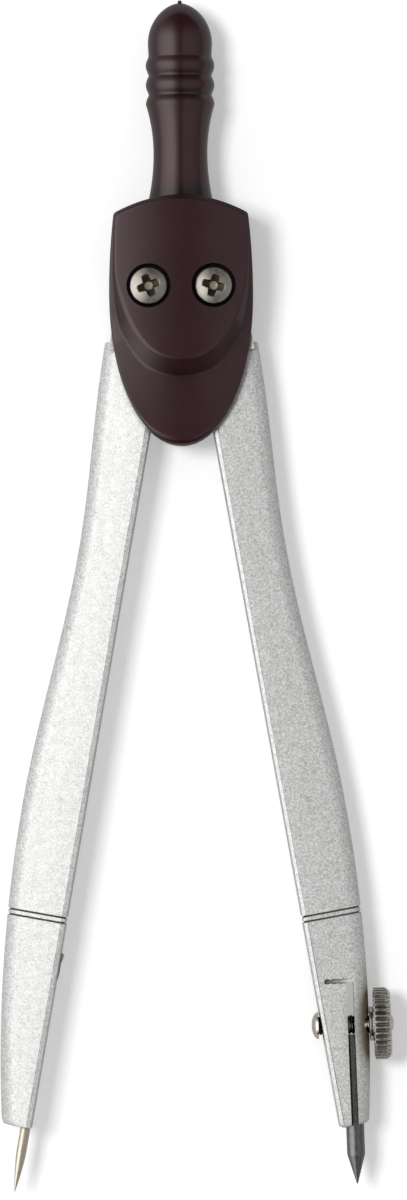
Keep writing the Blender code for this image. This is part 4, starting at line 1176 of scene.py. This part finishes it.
def casting_mark():
    """(height over the inner edge, place down the mark) pairs, sunk into the leg on its other side."""
    crest, low = MARK_HEIGHT, MARK_LENGTH
    outline = [
        (-0.5, 0), (-0.5, low), (0.02, low), (crest * 0.35, low * 0.75), (crest * 0.3, low * 0.4),
        (crest, 0.35), (crest - 0.04, 0.12), (0.02, 0),
    ]
    placed = [(LEG_INNER + height, -MARK_AT - down) for height, down in outline]
    return stamp(placed, -MARK_WIDTH / 2, MARK_WIDTH / 2)


def needle_profile():
    tip = -(LEG_LENGTH + NEEDLE_STICK_OUT)
    profile = [(0, tip)]
    for i in range(POINT_STEPS + 1):
        share = 1 - i / POINT_STEPS
        profile.append((between(NEEDLE_RADIUS, NEEDLE_TIP, share**OGIVE), tip + NEEDLE_POINT * (1 - share)))
    top = -(LEG_LENGTH - NEEDLE_BORE)
    return profile + [(NEEDLE_RADIUS, top), (0, top)]


needle_spot = shifted(left_leg_place, LEG_INNER - NEEDLE_INSET)
join(needle_leg, casting_mark(), left_leg_place)
bore_low, bore_top = -LEG_LENGTH - PAST, -LEG_LENGTH + NEEDLE_BORE + CLEARANCE
cut(needle_leg, post(NEEDLE_RADIUS + NEEDLE_PLAY, bore_low, bore_top, Y_AXIS, sides=32), needle_spot)
hand_over(smooth(needle_leg), silver, "silver_paint", "needle_leg", "needle_leg")
needle = new_piece("steel_needle", lathe(needle_profile(), Y_AXIS, sides=32), needle_spot)
hand_over(smooth(needle, sharp_angle=50), steel, "needle_steel", "needle_leg", "needle")

# %% [markdown]
# ## Lead leg and its clamp
# The lower end is sawn in line with the lead, which makes the inner half a springy jaw. A shallow notch
# across its root lets it bend. The lead lies in a bore between the jaws and shows through the saw cut.
# The nut's shade and reflection are painted brown into the paint beside it, so this leg gets its own copy of
# the silver paint.

# %% Saw cut, notch and bores
SLOT_WIDTH, SLOT_TOP = 0.8, 4.85
NOTCH_WIDTH, NOTCH_DEPTH, NOTCH_OVER_SLOT = 0.5, 0.46, 0.3
NOTCH_STEPS = 10
LEAD_RADIUS, CLAMP_SCREW_RADIUS, BORE_REACH = 1.0, 1.1, 8


def notch_outline():
    """Its two edges wander a little, as a file leaves them."""
    inner = -LEG_INNER - CLAMP_REACH + INNER_DRAFT + CHAMFER_WIDTH
    high = SLOT_TOP + NOTCH_OVER_SLOT
    low = high - NOTCH_WIDTH
    xs = evenly(inner, SLOT_WIDTH, NOTCH_STEPS)
    upper = [(x, high + 0.05 * math.sin(7 * x) + 0.03 * math.sin(17 * x)) for x in xs]
    lower = [(x, low + 0.04 * math.sin(9 * x + 1) + 0.02 * math.sin(23 * x)) for x in xs]
    return lower + list(reversed(upper))


slot_low, half_slot, face = -CLAMP_ABOVE_TOE - PAST, SLOT_WIDTH / 2, LEG_THICKNESS / 2 + PAST
slot = [(half_slot, slot_low), (half_slot, SLOT_TOP), (-half_slot, SLOT_TOP), (-half_slot, slot_low)]
cut(lead_leg, stamp(slot, -face, face), clamp_place)
cut(lead_leg, post(LEAD_RADIUS + CLEARANCE, slot_low, -CLAMP_SCREW_RADIUS, Y_AXIS), clamp_place)
cut(lead_leg, post(CLAMP_SCREW_RADIUS + CLEARANCE, -BORE_REACH, BORE_REACH, X_AXIS), clamp_place)
notch_floor = LEG_THICKNESS / 2 - NOTCH_DEPTH
cut(lead_leg, stamp(notch_outline(), notch_floor, face), clamp_place)
cut(lead_leg, stamp(notch_outline(), -face, -notch_floor), clamp_place)
print("lead leg cut")

# %% Paint with the nut's shade painted in beside it
NUT_SHADE_REACH, NUT_SHADE_START, NUT_SHADE_FADE = 3.8, LEG_LENGTH - 22.5, 2.0
# The brown below is painted shade and reflection of the nut on the jaw.
NUT_SHADE_BROWN, NUT_SHADE_VIEW = (0.13, 0.105, 0.075), (0.52, 0.995)


def silver_with_nut_shade():
    """Silver paint with the nut's shade and reflection painted in brown where the nut stands close to the
    jaw.
    """
    material = silver.copy()
    material.name = "silver paint with painted nut shade"
    tree = material.node_tree
    shader = tree.nodes["Principled BSDF"]
    paint = shader.inputs["Base Color"].links[0].from_socket
    nut_shaded = painted_shade_in_hollows(tree, paint, NUT_SHADE_BROWN, NUT_SHADE_REACH, NUT_SHADE_VIEW)
    along_leg = add_node(tree, "SeparateXYZ", {"Vector": own_place(tree)}).outputs["Y"]
    at_clamp = blend_values(tree, along_leg, 1.0, 0.0, -(NUT_SHADE_START + NUT_SHADE_FADE) * MM, -NUT_SHADE_START * MM)
    feed(tree, shader, {"Base Color": mix_colours(tree, at_clamp, paint, nut_shaded)})
    return material


hand_over(smooth(lead_leg), silver_with_nut_shade(), "silver_paint", "lead_leg", "lead_leg")
for leg in (needle_leg, lead_leg):
    painted_pieces.objects.link(leg)

# %% Sharpened lead
LEAD_TOP, LEAD_TIP, LEAD_CONE, LEAD_POINT, LEAD_EDGE = 1.13, 17.7, 3.3, 0.08, 0.03
RASP_DEPTH, RASP_MARKS, CONE_STEPS = 0.012, 40, 14


def lead_profile():
    """From the rounded tip up the cone, which a rasp has left slightly wavy, to the flat top."""
    tip, cone_start = -LEAD_TIP + LEAD_POINT, -LEAD_TIP + LEAD_CONE
    profile = [(0, -LEAD_TIP)] + corner_round((0, tip), LEAD_POINT, -80, -20, 4)
    for i in range(1, CONE_STEPS):
        share = i / CONE_STEPS
        rasped = RASP_DEPTH * math.sin(RASP_MARKS * share) * (1 - share)
        radius = between(LEAD_POINT, LEAD_RADIUS, share) + rasped
        profile.append((radius, tip + (LEAD_CONE - LEAD_POINT) * share))
    top = [(LEAD_RADIUS, -LEAD_TOP - LEAD_EDGE), (LEAD_RADIUS - LEAD_EDGE, -LEAD_TOP), (0, -LEAD_TOP)]
    return profile + [(LEAD_RADIUS, cone_start)] + top


lead = new_piece("graphite_lead", lathe(lead_profile(), Y_AXIS, sides=56), clamp_place)
hand_over(smooth(lead, sharp_angle=25), graphite, "graphite", "lead", "pencil_lead")

# %% [markdown]
# ## Clamp screw and knurled nut
# The screw pulls the jaws together. Its thread shows in the saw cut, so it is a real helix: every ring of
# points is a little turned against the last, which needs no modifier and closes at both ends. The nut's
# ribs are straight, with a bevel on the outer rim where they run out.

# %% Screw with a helical thread
THREAD_PITCH, THREAD_DEPTH = 0.45, 0.2
SCREW_HEAD_RADIUS, SCREW_HEAD_HEIGHT = 1.5, 0.75
NUT_BOSS_LENGTH, NUT_THICKNESS, SCREW_STICK_OUT = 0.45, 1.92, 0.3
SCREW_SIDES, HEAD_STEPS, RINGS_A_TURN, SEAT_TRIES = 32, 8, 8, 6
THREAD_START, THREAD_END = 0.1, 0.25
SCREW_END = ((0.22, 0.86), (0.12, 0.74), (0.04, 0.5), (0, 0.2))


def head_seat():
    """Where the screw's head rests on the inner edge, so that its tilted rim just clears the leg."""
    slope = abs(CLAMP_TILT)
    rim = CLAMP_REACH + SCREW_HEAD_RADIUS * math.sin(slope)
    return -(LEG_INNER + rim + CLEARANCE) / math.cos(slope)


def nut_seat():
    """Where the tilted screw leaves the waving outer edge, found by trying again from the last place."""
    slope, seat = abs(CLAMP_TILT), 0.0
    for _ in range(SEAT_TRIES):
        at = LEG_LENGTH - CLAMP_ABOVE_TOE + seat * math.sin(slope)
        seat = (leg_outer(at) - CLAMP_REACH) / math.cos(slope)
    return seat + CLEARANCE


def threaded_screw():
    """Planned as (place, radius, threaded or not), from the head's dome to the bevelled end."""
    seat, end = head_seat(), nut_seat() + NUT_BOSS_LENGTH + NUT_THICKNESS + SCREW_STICK_OUT
    plan = []
    for i in range(1, HEAD_STEPS + 1):
        turn = math.pi / 2 * i / HEAD_STEPS
        plan.append((seat - SCREW_HEAD_HEIGHT * math.cos(turn), SCREW_HEAD_RADIUS * math.sin(turn), False))
    core = CLAMP_SCREW_RADIUS - THREAD_DEPTH
    plan += [(seat + 0.02, SCREW_HEAD_RADIUS - 0.06, False), (seat + 0.03, core, False)]
    steps = int((end - seat) / THREAD_PITCH * RINGS_A_TURN)
    length = end - seat - THREAD_START - THREAD_END
    plan += [(seat + THREAD_START + length * i / steps, CLAMP_SCREW_RADIUS, True) for i in range(steps + 1)]
    plan += [(end - short, radius, False) for short, radius in SCREW_END]
    rings = []
    for along, radius, threaded in plan:
        ring = []
        for k in range(SCREW_SIDES):
            turn = math.tau * k / SCREW_SIDES
            wave = abs(((along / THREAD_PITCH - k / SCREW_SIDES) % 1) * 2 - 1)
            reach = radius - THREAD_DEPTH * (1 - wave) if threaded else radius
            ring.append((along, reach * math.cos(turn), reach * math.sin(turn)))
        rings.append(ring)
    return loft(rings)


clamp_screw = new_piece("threaded_clamp_screw", threaded_screw(), clamp_place)
hand_over(smooth(clamp_screw, sharp_angle=40), nickel, "nickel_plate", "lead_leg", "clamp_screw")

# %% Knurled nut
NUT_RADIUS, NUT_BOSS_RADIUS, NUT_BEVEL = 4.0, 1.9, 0.5
RIBS, RIB_DEPTH = 36, 0.27
RIB_SHARES = (0.0, 0.35, 0.85, 1.0, 1.0, 0.85, 0.35, 0.0)


def knurl_ring(radius, depth, along):
    """A ring whose points fall back by a share of that depth between one rib and the next."""
    count = RIBS * len(RIB_SHARES)
    ring = []
    for i in range(count):
        turn = math.tau * i / count
        reach = radius - depth * (1 - RIB_SHARES[i % len(RIB_SHARES)])
        ring.append((along, reach * math.cos(turn), reach * math.sin(turn)))
    return ring


def nut_rings():
    """(radius, rib depth, place) rows: up the boss, out over the disc's back, along the ribs, over the bevel
    where they run out, and in over the face to the bore."""
    seat = nut_seat()
    disc, face = seat + NUT_BOSS_LENGTH, seat + NUT_BOSS_LENGTH + NUT_THICKNESS
    bore, boss, rim = CLAMP_SCREW_RADIUS + CLEARANCE, NUT_BOSS_RADIUS, NUT_RADIUS
    valley, bevel, flat = NUT_RADIUS - RIB_DEPTH, face - NUT_BEVEL, NUT_RADIUS - NUT_BEVEL
    plan = [
        (bore, 0, seat), (boss - 0.06, 0, seat), (boss, 0, seat + 0.06),
        (boss, 0, disc - 0.08), (boss + 0.08, 0, disc), (valley - 0.12, 0, disc),
        (valley - 0.04, RIB_DEPTH * 0.2, disc + 0.04), (rim - 0.02, RIB_DEPTH * 0.9, disc + 0.12),
        (rim, RIB_DEPTH, disc + 0.2), (rim, RIB_DEPTH, bevel - 0.1), (rim - 0.03, RIB_DEPTH * 0.95, bevel),
        (valley + 0.03, RIB_DEPTH * 0.2, bevel + RIB_DEPTH), (valley - 0.02, 0, bevel + RIB_DEPTH + 0.06),
        (flat - 0.02, 0, face - 0.03), (flat - 0.1, 0, face), (bore + 0.1, 0, face), (bore, 0, face - 0.1),
    ]
    return [knurl_ring(*row) for row in plan]


nut = new_piece("knurled_clamp_nut", loft(nut_rings(), ends_meet=True), clamp_place)
hand_over(smooth(nut, sharp_angle=30), nickel, "nickel_plate", "clamp_nut", "knurled_nut")

# %% [markdown]
# ## Friction washers
# Four thin washers sit round the pivots, between the toothed ends and the covers. They hardly show, even
# with the legs wide open, so their solids stay and only get their finish.

# %% Washers keep their solids
for name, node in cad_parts.items():
    if name.startswith("friction_washer"):
        node.data.materials.clear()
        node.data.materials.append(washer_plastic)
        print(name, "gets", washer_plastic.name)

# %% [markdown]
# The dressed compass has to stay inside the box of its solids. The legs lie askew, so a box round the
# corners of each piece's own box comes out a few millimetres wider than the compass.

# %% The end
bpy.context.view_layer.update()
